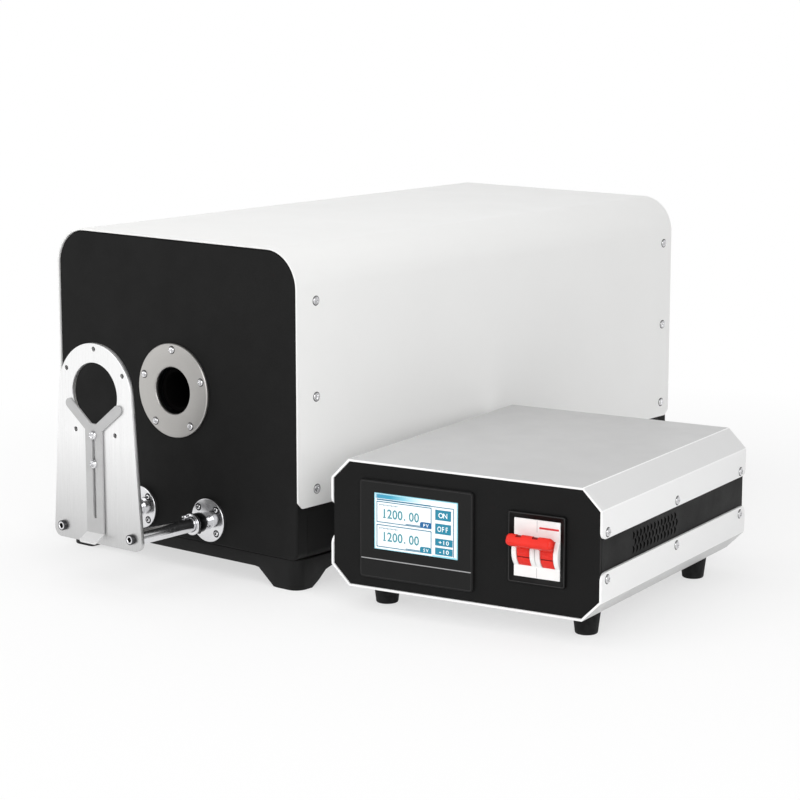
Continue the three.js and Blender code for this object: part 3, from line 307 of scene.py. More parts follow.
def filled(loops, lines=()):
    """Triangles between the first loop and its holes: a constrained Delaunay triangulation, kept
    where a triangle's middle lies inside the first loop and outside the others."""
    edges, start = [], 0
    for loop in loops:
        index = np.arange(len(loop)) + start
        edges += list(zip(index.tolist(), np.roll(index, -1).tolist()))
        start += len(loop)
    points = np.concatenate(list(loops))
    corners, _, faces = geometry.delaunay_2d_cdt(
        [Vector(p) for p in points.tolist()], edges + list(lines), [], 0, 1e-5
    )[:3]
    flat = np.array([tuple(c) for c in corners])
    triangles = np.array(faces)
    middles = flat[triangles].mean(1)
    keep = inside(middles, loops[0])
    for hole in loops[1:]:
        keep &= ~inside(middles, hole)
    return flat, triangles[keep]


def in_threes(items, key, kind=float):
    """A three-part value of every item of a mesh, as one array."""
    values = np.zeros(3 * len(items), kind)
    items.foreach_get(key, values)
    return values.reshape(-1, 3)


def welded(mesh):
    """Merges a mesh's doubles and turns its faces outwards."""
    work = bmesh.new()
    work.from_mesh(mesh)
    bmesh.ops.remove_doubles(work, verts=work.verts, dist=WELD)
    bmesh.ops.recalc_face_normals(work, faces=work.faces)
    work.to_mesh(mesh)
    work.free()


class Piece:
    """Surfaces of one piece, gathered as point grids and triangles, then welded to a closed mesh."""

    def __init__(self):
        self.points, self.faces, self.flat, self.slots, self.count = [], [], [], [], 0

    def add(self, points, faces, flat, slot):
        """Takes in points and the faces between them, with one slot or one for each face."""
        self.points.append(points.reshape(-1, 3))
        self.faces += (faces + self.count).tolist()
        self.flat += [flat] * len(faces)
        self.slots += np.broadcast_to(slot, len(faces)).tolist()
        self.count += points.reshape(-1, 3).shape[0]

    def grid(self, points, around=True, flat=False, slot=0):
        """A grid of points as quads; around closes the second direction. An array of slots gives
        one to each column, or to each quad."""
        rows, columns = points.shape[:2]
        index = np.arange(rows * columns).reshape(rows, columns)
        if around:
            index = np.hstack([index, index[:, :1]])
        quads = np.stack([index[:-1, :-1], index[1:, :-1], index[1:, 1:], index[:-1, 1:]], -1)
        self.add(points, quads.reshape(-1, 4), flat, np.broadcast_to(slot, quads.shape[:2]).ravel())
        return self

    def plate(
        self, outline, section, holes=(), hole_section=None, carry=along_y, slot=0, lines=(), sides=None,
    ):
        """An outline with holes, carried along its depth: ring j is the outline moved inwards by
        inset j at depth j, and a hole's ring is moved outwards by the same rule. The outline's own
        sides may have a slot for each column."""
        hole_section = hole_section or section
        rings = [carry(grown(outline, -inset), depth) for inset, depth in section]
        self.grid(np.array(rings), slot=slot if sides is None else sides)
        for hole in holes:
            rings = [carry(grown(hole, inset), depth) for inset, depth in hole_section]
            self.grid(np.array(rings), slot=slot)
        for end in (0, -1):
            loops = [grown(outline, -section[end][0])]
            loops += [grown(hole, hole_section[end][0]) for hole in holes]
            flat, triangles = filled(loops, lines)
            self.add(carry(flat, section[end][1]), triangles, True, slot)
        return self

    def turned(self, profile, centre, axis="y", steps=TURN_STEPS, slot=0):
        """A profile of (radius, height) pairs turned about an axis through centre:
        a + r cos t, b + r sin t, with the height along the axis."""
        r, h = np.asarray(profile, float).T
        t = np.arange(steps) / steps * 2 * math.pi
        a = centre[0] + r[:, None] * np.cos(t)
        b = centre[1] + r[:, None] * np.sin(t)
        height = np.broadcast_to(h[:, None], a.shape)
        order = {"x": (height, a, b), "y": (a, height, b), "z": (a, b, height)}[axis]
        return self.grid(np.stack(order, -1), slot=slot)

    def screw(self, centre, outwards, radius, height, slot=0, sink=0.4, cross=True, turn=0.5, seat=None):
        """A pan head: height h = H (1 - (r/R)^3)^0.5 over a disc, with a cross-shaped recess that
        deepens smoothly towards its two arms' middle lines; seat is the slot of a thin dark ring
        round its foot, a painted contact shadow."""
        outwards = np.asarray(outwards, float)
        side = np.cross(outwards, [0, 0, 1]) if abs(outwards[2]) < 0.9 else np.array([1.0, 0, 0])
        side /= np.linalg.norm(side)
        up = np.cross(side, outwards)
        share = np.sin(np.linspace(0, math.pi / 2, 13)) ** 1.2
        t = np.arange(32) / 32 * 2 * math.pi
        x, z = share[:, None] * np.cos(t), share[:, None] * np.sin(t)
        h = height * np.sqrt(np.clip(1 - share ** 3, 0, 1))[:, None] * np.ones_like(x)
        if cross:
            u = x * math.cos(turn) - z * math.sin(turn)
            v = x * math.sin(turn) + z * math.cos(turn)
            arm = [
                np.clip((0.2 - abs(p)) / 0.1, 0, 1) * np.clip((0.62 - abs(q)) / 0.12, 0, 1)
                for p, q in ((u, v), (v, u))
            ]
            h = h - 0.55 * height * np.maximum(*arm)
        foot = np.array([[-sink, 1.0], [-sink, 0.0]])
        rows = np.concatenate([share, foot[:, 1]])
        x, z = rows[:, None] * np.cos(t) * radius, rows[:, None] * np.sin(t) * radius
        h = np.vstack([h, np.repeat(foot[:, :1], len(t), 1)])
        points = centre + x[..., None] * side + z[..., None] * up + h[..., None] * outwards
        # A thin dark disc round the foot of the head: painted contact shadow.
        if seat is not None:
            share, h = np.array([(0, -sink), (1.15, -sink), (1.15, 0.06), (0, 0.06)]).T[..., None]
            x, z = share * radius * np.cos(t), share * radius * np.sin(t)
            ring = centre + x[..., None] * side + z[..., None] * up + (h + 0 * x)[..., None] * outwards
            self.grid(ring, slot=seat)
        return self.grid(points, slot=slot)

    def made(self, name, place, materials, body, slot, replaces=()):
        """Welds the surfaces, turns the faces outwards, links the piece into the scene under its body's empty
        and hides the parts it replaces.
        """
        mesh = bpy.data.meshes.new(name)
        points = place(np.concatenate(self.points)) * MM
        mesh.from_pydata(points.tolist(), [], self.faces)
        mesh.polygons.foreach_set("use_smooth", [not flat for flat in self.flat])
        mesh.polygons.foreach_set("material_index", self.slots)
        welded(mesh)
        smooth = np.zeros(len(mesh.polygons), bool)
        mesh.polygons.foreach_get("use_smooth", smooth)
        mesh.set_sharp_from_angle(angle=SHARP)
        mesh.polygons.foreach_set("use_smooth", smooth)
        for material in materials:
            mesh.materials.append(material)
        obj = bpy.data.objects.new(name, mesh)
        bpy.context.scene.collection.objects.link(obj)
        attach(obj, body)
        if replaces:
            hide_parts(*replaces)
        return obj


# Finishes

def wired(tree, kind, links=(), **values):
    """A new node with its settings; each input is linked to a socket or given a value."""
    made = tree.nodes.new(kind)
    for key, value in values.items():
        setattr(made, key, value)
    for socket, source in dict(links).items():
        if hasattr(source, "links"):
            tree.links.new(source, made.inputs[socket])
        else:
            made.inputs[socket].default_value = source
    return made


def faded(tree, source, start, end, low, high):
    """A value from start to end carried over to low to high, and held beyond both."""
    return wired(tree, "ShaderNodeMapRange", {
        "Value": source, "From Min": start, "From Max": end, "To Min": low, "To Max": high,
    }).outputs[0]


class Finish:
    """A procedural material under construction: its shader, its nodes and the links between them."""

    def __init__(self, name, colour, roughness, metallic=0.0, **sockets):
        self.material = bpy.data.materials.new(name)
        self.material.use_nodes = True
        self.tree = self.material.node_tree
        self.shader = self.tree.nodes["Principled BSDF"]
        self.colour = tuple(colour)
        self.material.diffuse_color = (*self.colour, 1)
        self.shader.inputs["Base Color"].default_value = (*self.colour, 1)
        self.shader.inputs["Roughness"].default_value = roughness
        self.shader.inputs["Metallic"].default_value = metallic
        for socket, value in sockets.items():
            self.shader.inputs[socket.replace("_", " ")].default_value = value
        self.place = self.node("ShaderNodeTexCoord").outputs["Object"]

    def node(self, kind, links=(), **values):
        """A node of this material."""
        return wired(self.tree, kind, links, **values)

    def stretched(self, scale, centre=(0, 0, 0)):
        """Object coordinates p centred and scaled per axis: p s - c s."""
        shift = tuple(-c * s for c, s in zip(centre, scale))
        return self.node(
            "ShaderNodeMapping", {"Vector": self.place, "Location": shift, "Scale": scale}
        ).outputs[0]

    def noise(self, scale, detail=2.0, vector=None, roughness=0.5):
        """Noise with about scale cells a metre, from 0 to 1."""
        return self.node("ShaderNodeTexNoise", {
            "Vector": vector or self.place, "Scale": scale, "Detail": detail, "Roughness": roughness,
        }).outputs[0]

    def spread(self, source, low, high, start=0.3, end=0.7):
        """A value from start to end carried over to low to high."""
        return faded(self.tree, source, start, end, low, high)

    def tinted(self, source, dark, light, start=0.3, end=0.7):
        """The base colour times a factor that the source carries from dark to light."""
        factor = self.spread(source, dark, light, start, end)
        mixed = self.node("ShaderNodeVectorMath", {0: self.colour, 3: factor}, operation="SCALE")
        self.tree.links.new(mixed.outputs[0], self.shader.inputs["Base Color"])
        return self

    def roughened(self, source, low, high, start=0.3, end=0.7):
        """A roughness that the source carries from low to high."""
        rough = self.spread(source, low, high, start, end)
        self.tree.links.new(rough, self.shader.inputs["Roughness"])
        return self

    def bumped(self, source, strength, depth):
        """Height from the source: depth in metres at full strength; a second call adds to the first."""
        links = {"Height": source, "Strength": strength, "Distance": depth}
        if self.shader.inputs["Normal"].is_linked:
            links["Normal"] = self.shader.inputs["Normal"].links[0].from_socket
        bump = self.node("ShaderNodeBump", links)
        self.tree.links.new(bump.outputs[0], self.shader.inputs["Normal"])
        return self


def powder_coat(name, colour, roughness=0.42, orange_peel=0.12):
    """Satin powder coat: orange peel of about 1.5 mm over a fine grain, faint cloudiness."""
    f = Finish(name, colour, roughness, Specular_IOR_Level=0.42)
    f.tinted(f.noise(9, 3), 0.985, 1.0).roughened(f.noise(26, 4), roughness - 0.05, roughness + 0.07)
    f.bumped(f.noise(650, 2), orange_peel, 0.0002)
    return f.bumped(f.noise(2600, 1), orange_peel * 0.7, 0.00005).material


def grained_coat(name, colour, roughness=0.55):
    """Black textured coat: a dense grain of about 0.5 mm with slightly lighter tips."""
    f = Finish(name, colour, roughness, Specular_IOR_Level=0.11)
    grain = f.noise(1700, 3, roughness=0.6)
    f.tinted(grain, 0.82, 1.28, 0.35, 0.68).roughened(f.noise(30, 3), roughness - 0.06, roughness + 0.08)
    return f.bumped(grain, 0.35, 0.0003).material


def moulded(name, colour, roughness=0.55, grain=0.2, specular=0.18):
    """Moulded plastic: fine spark-eroded grain and a slow change in sheen."""
    f = Finish(name, colour, roughness, Specular_IOR_Level=specular)
    f.tinted(f.noise(40, 3), 0.94, 1.04).roughened(f.noise(60, 3), roughness - 0.07, roughness + 0.06)
    return f.bumped(f.noise(2200, 2), grain, 0.0001).material


def brushed(name, colour, stretch, roughness=0.34, contrast=0.12):
    """Metal brushed along one axis: noise squeezed across the grain and drawn out along it."""
    f = Finish(name, colour, roughness, 1.0)
    lines = f.noise(1.0, 5, f.stretched(stretch), 0.7)
    f.tinted(lines, 1 - contrast, 1.0).roughened(lines, roughness - 0.06, roughness + 0.12)
    return f.bumped(lines, 0.22, 0.00008).material


def ring_turned(name, colour, centre, roughness=0.33):
    """Lathe marks round the bore: noise of the distance to the axis sqrt(x^2 + z^2)."""
    f = Finish(name, colour, roughness, 1.0, Anisotropic=0.4)
    flat = f.stretched((1, 0, 1), centre)
    radius = f.node("ShaderNodeVectorMath", {0: flat}, operation="LENGTH").outputs["Value"]
    along = f.node("ShaderNodeCombineXYZ", {0: radius}).outputs[0]
    marks = f.noise(1500, 4, along, 0.75)
    fine = f.noise(1.0, 4, f.stretched((900, 900, 900), centre))
    f.tinted(marks, 0.84, 1.0).roughened(fine, roughness - 0.05, roughness + 0.14)
    return f.bumped(marks, 0.3, 0.00006).material


def polished(name, colour, roughness=0.09, streak=(60, 60, 60)):
    """Chrome or ground steel: almost a mirror, with faint wipe marks in its sheen."""
    f = Finish(name, colour, roughness, 1.0)
    wipe = f.noise(1.0, 5, f.stretched(streak), 0.65)
    f.tinted(wipe, 0.93, 1.0).roughened(wipe, roughness, roughness + 0.12)
    return f.bumped(f.noise(1.0, 2, f.stretched(tuple(8 * s for s in streak))), 0.06, 0.00004).material


def blasted(name, colour, roughness=0.42, metallic=1.0):
    """Bead blasted steel: dense small pits that scatter the light, a little cloudy."""
    f = Finish(name, colour, roughness, metallic)
    pits = f.noise(3200, 2)
    f.tinted(f.noise(45, 4), 0.93, 1.0).roughened(f.noise(80, 3), roughness - 0.04, roughness + 0.1)
    return f.bumped(pits, 0.35, 0.00012).material


def blackened(name, colour, roughness=0.3):
    """Dark, half metallic turned steel with fine turning marks along y: black oxide on the collars, painted
    shade on the bolts' chrome heads.
    """
    f = Finish(name, colour, roughness, 0.85)
    marks = f.noise(1.0, 3, f.stretched((90, 2600, 90)), 0.6)
    f.tinted(marks, 0.75, 1.15).roughened(f.noise(140, 3), roughness - 0.06, roughness + 0.12)
    return f.bumped(marks, 0.2, 0.00006).material


def fired(name, colour, roughness=0.75, gloss=0.3):
    """Fired ceramic: chalky, with pores and a slight warm mottling."""
    f = Finish(name, colour, roughness, Specular_IOR_Level=gloss)
    f.tinted(f.noise(55, 4), 0.9, 1.0).roughened(f.noise(90, 3), roughness - 0.1, roughness + 0.1)
    return f.bumped(f.noise(1100, 3), 0.35, 0.0002).material


def fibrous(name, colour):
    """Fibre board: matted strands that lie round the drum, from noise drawn out along y."""
    f = Finish(name, colour, 0.95, Specular_IOR_Level=0.15)
    strands = f.noise(1.0, 5, f.stretched((700, 160, 700)), 0.7)
    f.tinted(strands, 0.86, 1.0)
    return f.bumped(strands, 0.6, 0.0005).material


def rubber(name, colour, roughness=0.8):
    """Soft rubber: matt, dusty in patches, with a dull sheen."""
    f = Finish(name, colour, roughness, Specular_IOR_Level=0.3)
    f.tinted(f.noise(120, 4), 0.85, 1.3).roughened(f.noise(200, 2), roughness - 0.1, roughness + 0.1)
    return f.bumped(f.noise(1500, 2), 0.25, 0.0002).material


def sheet_metal(name, colour, roughness=0.4):
    """Cold-rolled sheet or drawn aluminium inside a casing: long faint rolling lines."""
    return brushed(name, colour, (900, 30, 900), roughness, 0.08)


def lit(name, colour, strength=0.12, roughness=0.2):
    """Part of the lit display: its own colour, some of it as light, under a glossy sheet."""
    f = Finish(name, colour, roughness, Specular_IOR_Level=0.5, Emission_Strength=strength)
    f.shader.inputs["Emission Color"].default_value = (*colour, 1)
    f.tinted(f.noise(30, 2), 0.97, 1.0)
    return f.bumped(f.noise(3000, 1), 0.02, 0.00002).material


def srgb(text):
    """A colour written as six hexadecimal digits, made linear by the usual curve."""
    parts = [int(text[i:i + 2], 16) / 255 for i in (0, 2, 4)]
    return [p / 12.92 if p <= 0.04045 else ((p + 0.055) / 1.055) ** 2.4 for p in parts]


# Sizes and colours that a user would change

def length(name, value, description):
    """A length property in metres whose default is given in millimetres."""
    return FloatProperty(
        name=name, description=description, default=value * MM, min=0, unit="LENGTH"
    )


def tone(name, text, description):
    """A colour property whose default is written as six hexadecimal digits."""
    return FloatVectorProperty(
        name=name, description=description, default=srgb(text), size=3, min=0, max=1, subtype="COLOR"
    )


class FurnaceSizes(bpy.types.PropertyGroup):
    """Sizes of the furnace's visible trim."""

    cover_bend: length("Cover bend", CASE_RADIUS, "Outer radius of the cover's two upper bends")
    screw_head: length("Cover screw head", 4.6, "Radius of the pan heads that hold the cover")
    mouth_screw_head: length("Mouth screw head", 3.9, "Radius of the pan heads round the mouth")
    bushing_screw_head: length("Bushing screw head", 2.7, "Radius of the screw heads in a bushing flange")


class UnitSizes(bpy.types.PropertyGroup):
    """Sizes of the control unit's visible trim."""

    fold: length("Fold radius", 1.9, "Outer radius of the folds along the shells")
    screw_head: length("Side screw head", 4.4, "Radius of the pan heads along the shells' edges")
    digit_height: length("Digit height", 9.6, "Height of the readings on the screen")


class FinishColours(bpy.types.PropertyGroup):
    """Colours of the coats, plastics and metals."""

    cover: tone("Cover", "EFEFEE", "White coat of the furnace cover")
    body: tone("Body", "171717", "Black textured coat of the end pans and tray")
    plinth: tone("Plinth", "121212", "Black plastic of the plinth")
    # One white coat in truth: the greys of the level and slanted faces are painted shade, and the brighter
    # folds are a painted highlight.
    shell_top_shade: tone("Unit top", "C4C4C4", "Light grey coat on the level faces of the control unit's shells")
    shell_slant_shade: tone("Unit slants", "DEDEDE", "Coat on the slanted faces of the shells")
    shell: tone("Unit sides", "F0F0F0", "White coat on the upright faces of the shells")
    shell_fold_highlight: tone("Unit folds", "F8F8F8", "Bright coat along the folds and the cut edges")
    shell_under_shade: tone("Unit lower slants", "CECECE", "Coat on the slanted faces below the sides")
    unit_black: tone("Unit black", "151515", "Black coat of the control unit's panels")
    toggle: tone("Toggle", "E53026", "Red plastic of the breaker's toggle")
    breaker: tone("Breaker", "F6F6F5", "White plastic of the breaker")
    steel: tone("Brushed steel", "FCFCFC", "Stand plate")
    chrome: tone("Chrome", "E6E6E8", "Guide rods, bushings and screws")
    screen: tone("Screen", "F4FBFC", "Background of the lit screen")
    screen_blue: tone("Screen blue", "12809C", "Buttons and tabs on the screen")
    digits: tone("Digits", "3F8C99", "Readings on the screen")


class StudioLight(bpy.types.PropertyGroup):
    """Light of the studio round the set."""

    sky: FloatProperty(name="Sky", description="Strength of the even light all round", default=1.0, min=0)
    key: FloatProperty(
        name="Key", description="Power of the large lamp at the right", default=30, min=0, unit="POWER",
    )
    fill: FloatProperty(name="Fill", description="Power of the lamp above", default=31, min=0, unit="POWER")


Look = namedtuple("Look", "furnace unit colours")


def look():
    """The three groups of settings, for the operators."""
    scene = bpy.context.scene
    return Look(scene.furnace_sizes, scene.unit_sizes, scene.finish_colours)


def finished(name, make):
    """The material of that name, made on first use."""
    return bpy.data.materials.get(name) or make(name)


def chrome():
    """Bright plating of the screws and rings."""
    return finished("chrome", lambda n: polished(n, look().colours.chrome))


def satin_screw():
    """Satin steel of the screws in the painted sheets."""
    return finished("screw_satin_steel", lambda n: polished(n, srgb("D4D4D6"), 0.16))


def dark_recess():
    """Painted shade: dull black at the bottom of holes and in thin rings round the screws' feet."""
    return finished("dark_recess", lambda n: moulded(n, srgb("0A0A0A"), 0.8))


def black_coat():
    """Coat of the furnace's end pans and tray."""
    return finished("body_black_coat", lambda n: grained_coat(n, look().colours.body))


def cover_coat():
    """Coat of the furnace cover."""
    return finished("cover_white_coat", lambda n: powder_coat(n, look().colours.cover))


def brushed_upwards(name, colour, share, low, high, roughness=0.3):
    """Steel brushed upwards: noise drawn out along z. Its tone grows from a share at the height low
    to the whole at the height high: painted shade, darker towards the plate's foot."""
    f = Finish(name, colour, roughness, 1.0)
    lines = f.noise(1.0, 5, f.stretched((2400, 2400, 16)), 0.7)
    height = f.node("ShaderNodeSeparateXYZ", {0: f.place}).outputs["Z"]
    # Painted shade: the tone falls off by height towards the plate's foot.
    dull = f.spread(height, share, 1.0, low * MM, high * MM)
    shade = f.node(
        "ShaderNodeMath", {0: f.spread(lines, 0.88, 1.0), 1: dull}, operation="MULTIPLY"
    ).outputs[0]
    f.tinted(shade, 0, 1, 0, 1).roughened(lines, roughness - 0.06, roughness + 0.12)
    return f.bumped(lines, 0.22, 0.00008).material


def steel_plate():
    """Finish of the stand plate, with painted shade towards its foot."""
    shade = PLATE_SHADE, PLATE_SHADE_LOW, PLATE_SHADE_HIGH
    return finished("stand_brushed_steel", lambda n: brushed_upwards(n, look().colours.steel, *shade))


def turned_flange():
    """Finish of the mouth flanges, turned about the bore's axis."""
    centre = tuple((FURNACE_ORIGIN + [0, 0, BORE_HEIGHT]) * MM)
    return finished("flange_turned_steel", lambda n: ring_turned(n, srgb("C7C5C2"), centre, 0.38))


def unit_coats_painted_shade():
    """Coats of the shells' level, slanted and upright faces, of their folds and edges, and of the
    slanted faces below: one white paint, its greys painted shade and its brighter folds a painted highlight."""
    colours = look().colours
    shades = {
        "level": colours.shell_top_shade, "slanted": colours.shell_slant_shade, "upright": colours.shell,
        "fold": colours.shell_fold_highlight, "lower": colours.shell_under_shade,
    }
    return [
        finished(f"unit_{name}_coat", lambda n, c=colour: powder_coat(n, c, 0.38, 0.08))
        for name, colour in shades.items()
    ]


def strip_coat():
    """Coat of the control unit's side strips."""
    return finished("unit_strip_coat", lambda n: grained_coat(n, srgb("121212"), 0.5))


def unit_black():
    """Coat of the control unit's front and rear panels."""
    return finished("unit_black_coat", lambda n: grained_coat(n, look().colours.unit_black, 0.5))


# Furnace pieces

def cover_line():
    """Outer line of the cover's section, from the lower left edge over both bends to the lower right."""
    half, bend = CASE_WIDTH / 2, look().furnace.cover_bend / MM
    corners = [(-half, COVER_BOTTOM), (-half, CASE_TOP), (half, CASE_TOP), (half, COVER_BOTTOM)]
    line = filleted(corners, [0, bend, bend, 0], 32, closed=False)
    low = np.linspace(COVER_BOTTOM, COVER_BOTTOM + COVER_CORNER, 3)[:-1]
    left = np.stack([np.full(2, -half), low], -1)
    right = np.stack([np.full(2, half), low[::-1]], -1)
    bend_left = np.array([[-half, COVER_BOTTOM + COVER_CORNER]])
    bend_right = np.array([[half, COVER_BOTTOM + COVER_CORNER]])
    return np.vstack([left, bend_left, line[1:-1], bend_right, right])


def cut_back(points, depth):
    """The cover's section at a depth, its ends slanted: y = depth + c (1 - 2 depth / length), where
    c is how far the point lies below the corner cut's upper end."""
    cut = np.clip(COVER_BOTTOM + COVER_CORNER - points[:, 1], 0, COVER_CORNER)
    y = depth + cut * (1 - 2 * depth / CASE_LENGTH)
    return np.stack([points[:, 0], y, points[:, 1]], -1)


def side_screws(name, place, width, places, radius, rise):
    """Pan heads on both sides of a casing, at (y, z) and turned by an angle."""
    screws = Piece()
    for side in (-1, 1):
        for y, z, turn in places:
            centre = np.array([side * width / 2, y, z])
            screws.screw(centre, (side, 0, 0), radius / MM, rise, turn=turn, seat=1)
    screws.made(name, place, [satin_screw(), dark_recess()], "root", "bolt_chrome")


def make_cover():
    """Sheet of the cover carried along y, its edges rounded, and three screws on either side."""
    piece = Piece()
    loop = sheet_loop(cover_line(), -COVER_SHEET)[::-1]
    piece.plate(loop, rim(0, CASE_LENGTH, 0.5, 0.5, 3), carry=cut_back)
    piece.made("furnace_cover", on_furnace, [cover_coat()], "root", "cover_white_paint", ["outer_cover"])
    places = [(y, z, 0.3 * z) for y in COVER_SCREWS_Y for z in COVER_SCREWS_Z]
    side_screws("cover_screws", on_furnace, CASE_WIDTH, places, look().furnace.screw_head, COVER_SCREW_RISE)


def casing_outline(half, bottom, top, upper, lower, steps=24):
    """Upright casing: a box with two large round corners above and two small ones below."""
    corners = [(-half, bottom), (half, bottom), (half, top), (-half, top)]
    return filleted(corners, [lower, lower, upper, upper], steps)


def make_pan(name, face, towards, holes, hole_radius, node):
    """A folded end pan: the casing outline with a round front edge, turned back into a rim and
    hollow behind; towards is 1 where its hollow lies at larger y."""
    outline = casing_outline(PANEL_HALF, BODY_BOTTOM, PANEL_TOP, PANEL_RADIUS, BODY_FOOT_RADIUS)
    section = rim(0, PANEL_DEPTH, PANEL_EDGE, 0, 6)
    section += [(PANEL_SHEET, PANEL_DEPTH), (PANEL_SHEET, PANEL_SHEET)]
    rings = [circle(0, BORE_HEIGHT, MOUTH_OPENING + GAP, TURN_STEPS)]
    rings += [circle(x, z, hole_radius + GAP) for x, z in holes]
    carry = lambda points, depth: along_y(points, face + towards * depth)
    piece = Piece()
    piece.plate(outline, section, rings, rim(0, PANEL_SHEET, 0.2, 0, 2), carry)
    piece.made(name, on_furnace, [black_coat()], "root", "body_black_paint", [node])


def make_tray():
    """U-shaped tray between the pans: its section is a sheet with two round lower folds."""
    r = BODY_FOOT_RADIUS
    corners = [
        (-PANEL_HALF, TRAY_TOP), (-PANEL_HALF, BODY_BOTTOM),
        (PANEL_HALF, BODY_BOTTOM), (PANEL_HALF, TRAY_TOP),
    ]
    loop = sheet_loop(filleted(corners, [0, r, r, 0], 16, closed=False), PANEL_SHEET)
    inset = PANEL_SETBACK + PANEL_DEPTH + GAP
    piece = Piece().plate(loop, rim(inset, CASE_LENGTH - inset, 0.2, 0.2, 2))
    piece.made("body_tray", on_furnace, [black_coat()], "root", "body_black_paint", ["chassis_tray"])


def make_plinth():
    """Plinth wall: its outline carried down from the top to z = a(s), the arch line over the outline's
    length, which is 0 at the feet, FOOT_HEIGHT in the arches and slanted between; then inwards by the
    wall and back up to the roof. Each foot is a slanted block in its corner."""
    near, far = PLINTH_NEAR, CASE_LENGTH - PLINTH_NEAR
    middle_y = CASE_LENGTH / 2
    half, reach = PLINTH_HALF, (far - near) / 2
    corners = [(-half, near), (half, near), (half, far), (-half, far)]
    loop = filleted(corners, [PLINTH_RADIUS] * 4, 12)
    stops = []
    for a, b in zip(loop, np.roll(loop, -1, 0)):
        stops.append(np.linspace(a, b, 60 if np.linalg.norm(b - a) > 100 else 1, endpoint=False))
    loop = np.concatenate(stops)
    across = abs(loop[:, 0])
    along = abs(loop[:, 1] - middle_y)
    on_end = along > reach - PLINTH_RADIUS
    inner_x, inner_y = half - FOOT_WIDTH, reach - FOOT_LENGTH
    end_arch = (inner_x + FOOT_SLANT - across) / FOOT_SLANT
    side_arch = (inner_y + FOOT_SLANT - along) / FOOT_SLANT
    arch = np.clip(np.where(on_end, end_arch, side_arch), 0, 1) * FOOT_HEIGHT
    roof = PLINTH_TOP - PLINTH_ROOF
    t = np.linspace(0, math.pi / 2, 5)
    rows = [(PLINTH_EDGE * (1 - math.sin(a)), PLINTH_TOP - PLINTH_EDGE * (1 - math.cos(a))) for a in t]
    rings = [along_z(grown(loop, -inset), z) for inset, z in rows]
    rings.append(np.column_stack([loop, arch + 1.0]))
    for inset in (0.4, PLINTH_WALL):
        rings.append(np.column_stack([grown(loop, -inset), arch]))
    inner = grown(loop, -PLINTH_WALL)
    rings.append(along_z(inner, roof))
    piece = Piece().grid(np.array(rings))
    for ring, z in ((grown(loop, -PLINTH_EDGE), PLINTH_TOP), (inner, roof)):
        flat, triangles = filled([ring])
        piece.add(along_z(flat, z), triangles, True, 0)
    inset = PLINTH_WALL - FOOT_LAP
    for sx in (-1, 1):
        for sy in (-1, 1):
            outer_x, outer_y = sx * (half - inset), middle_y + sy * (reach - inset)
            cut_x, cut_y = outer_x - sx * FOOT_CORNER, outer_y - sy * FOOT_CORNER
            low_x, high_x = sx * (inner_x + FOOT_SLANT), sx * inner_x
            low_y, high_y = middle_y + sy * (inner_y + FOOT_SLANT), middle_y + sy * inner_y
            rings = [
                [(x, outer_y, z), (x, y, z), (outer_x, y, z), (outer_x, cut_y, z), (cut_x, outer_y, z)]
                for x, y, z in ((low_x, low_y, 0.02), (high_x, high_y, FOOT_HEIGHT), (high_x, high_y, roof))
            ]
            block = np.array(rings, float)
            piece.grid(block, flat=True)
            for ring in (block[0], block[-1]):
                fan = np.array([(0, 1, 2), (0, 2, 3), (0, 3, 4)])
                piece.add(ring, fan, True, 0)
    plinth = finished("plinth_black_plastic", lambda n: moulded(n, look().colours.plinth, 0.5))
    piece.made("furnace_plinth", on_furnace, [plinth], "root", "plinth_black", ["base_plinth"])


def softened(profile, radii, steps=4):
    """A turned profile whose corners are rounded."""
    return filleted(profile, radii, steps, closed=False)


def make_mouth(name, face, outwards, node):
    """Mouth flange: a turned disc with broken edges, and five screws round it."""
    seat, front = face + outwards * GAP, face + outwards * (GAP + MOUTH_THICKNESS)
    bevel = front - outwards * MOUTH_BEVEL
    profile = [
        (MOUTH_OPENING, seat), (MOUTH_OUTER, seat), (MOUTH_OUTER, bevel), (MOUTH_OUTER - MOUTH_BEVEL, front),
        (MOUTH_OPENING + MOUTH_BEVEL, front), (MOUTH_OPENING, bevel), (MOUTH_OPENING, seat),
    ]
    disc = Piece().turned(softened(profile, [0, 0.1, 0.35, 0.35, 0.35, 0.35, 0]), (0, BORE_HEIGHT))
    disc.made(name, on_furnace, [turned_flange()], "root", "flange_brushed_steel", [node])
    screws = Piece()
    radius = look().furnace.mouth_screw_head / MM
    for angle in MOUTH_SCREW_ANGLES:
        x, z = round_at(0, BORE_HEIGHT, MOUTH_SCREW_CIRCLE, angle)
        centre = np.array([x, front, z])
        screws.screw(centre, (0, outwards, 0), radius, MOUTH_SCREW_RISE, turn=angle, seat=1)
    screws.made(f"{name}_screws", on_furnace, [chrome(), dark_recess()], "root", "bolt_chrome")


def make_tube():
    """Ceramic furnace tube with rounded ends, coloured almost black so that the bore reads as a dark hole:
    painted shade.
    """
    a, b, middle = TUBE_INSET, CASE_LENGTH - TUBE_INSET, CASE_LENGTH / 2
    profile = [
        (TUBE_BORE, middle), (TUBE_BORE, a), (TUBE_OUTER, a),
        (TUBE_OUTER, b), (TUBE_BORE, b), (TUBE_BORE, middle),
    ]
    piece = Piece().turned(softened(profile, [0, 1.2, 1.2, 1.2, 1.2, 0]), (0, BORE_HEIGHT))
    tube = finished("tube_dark_ceramic", lambda n: fired(n, srgb("040303"), 0.9, 0.06))
    piece.made("ceramic_tube", on_furnace, [tube], "root", "tube_ceramic", ["furnace_tube"])


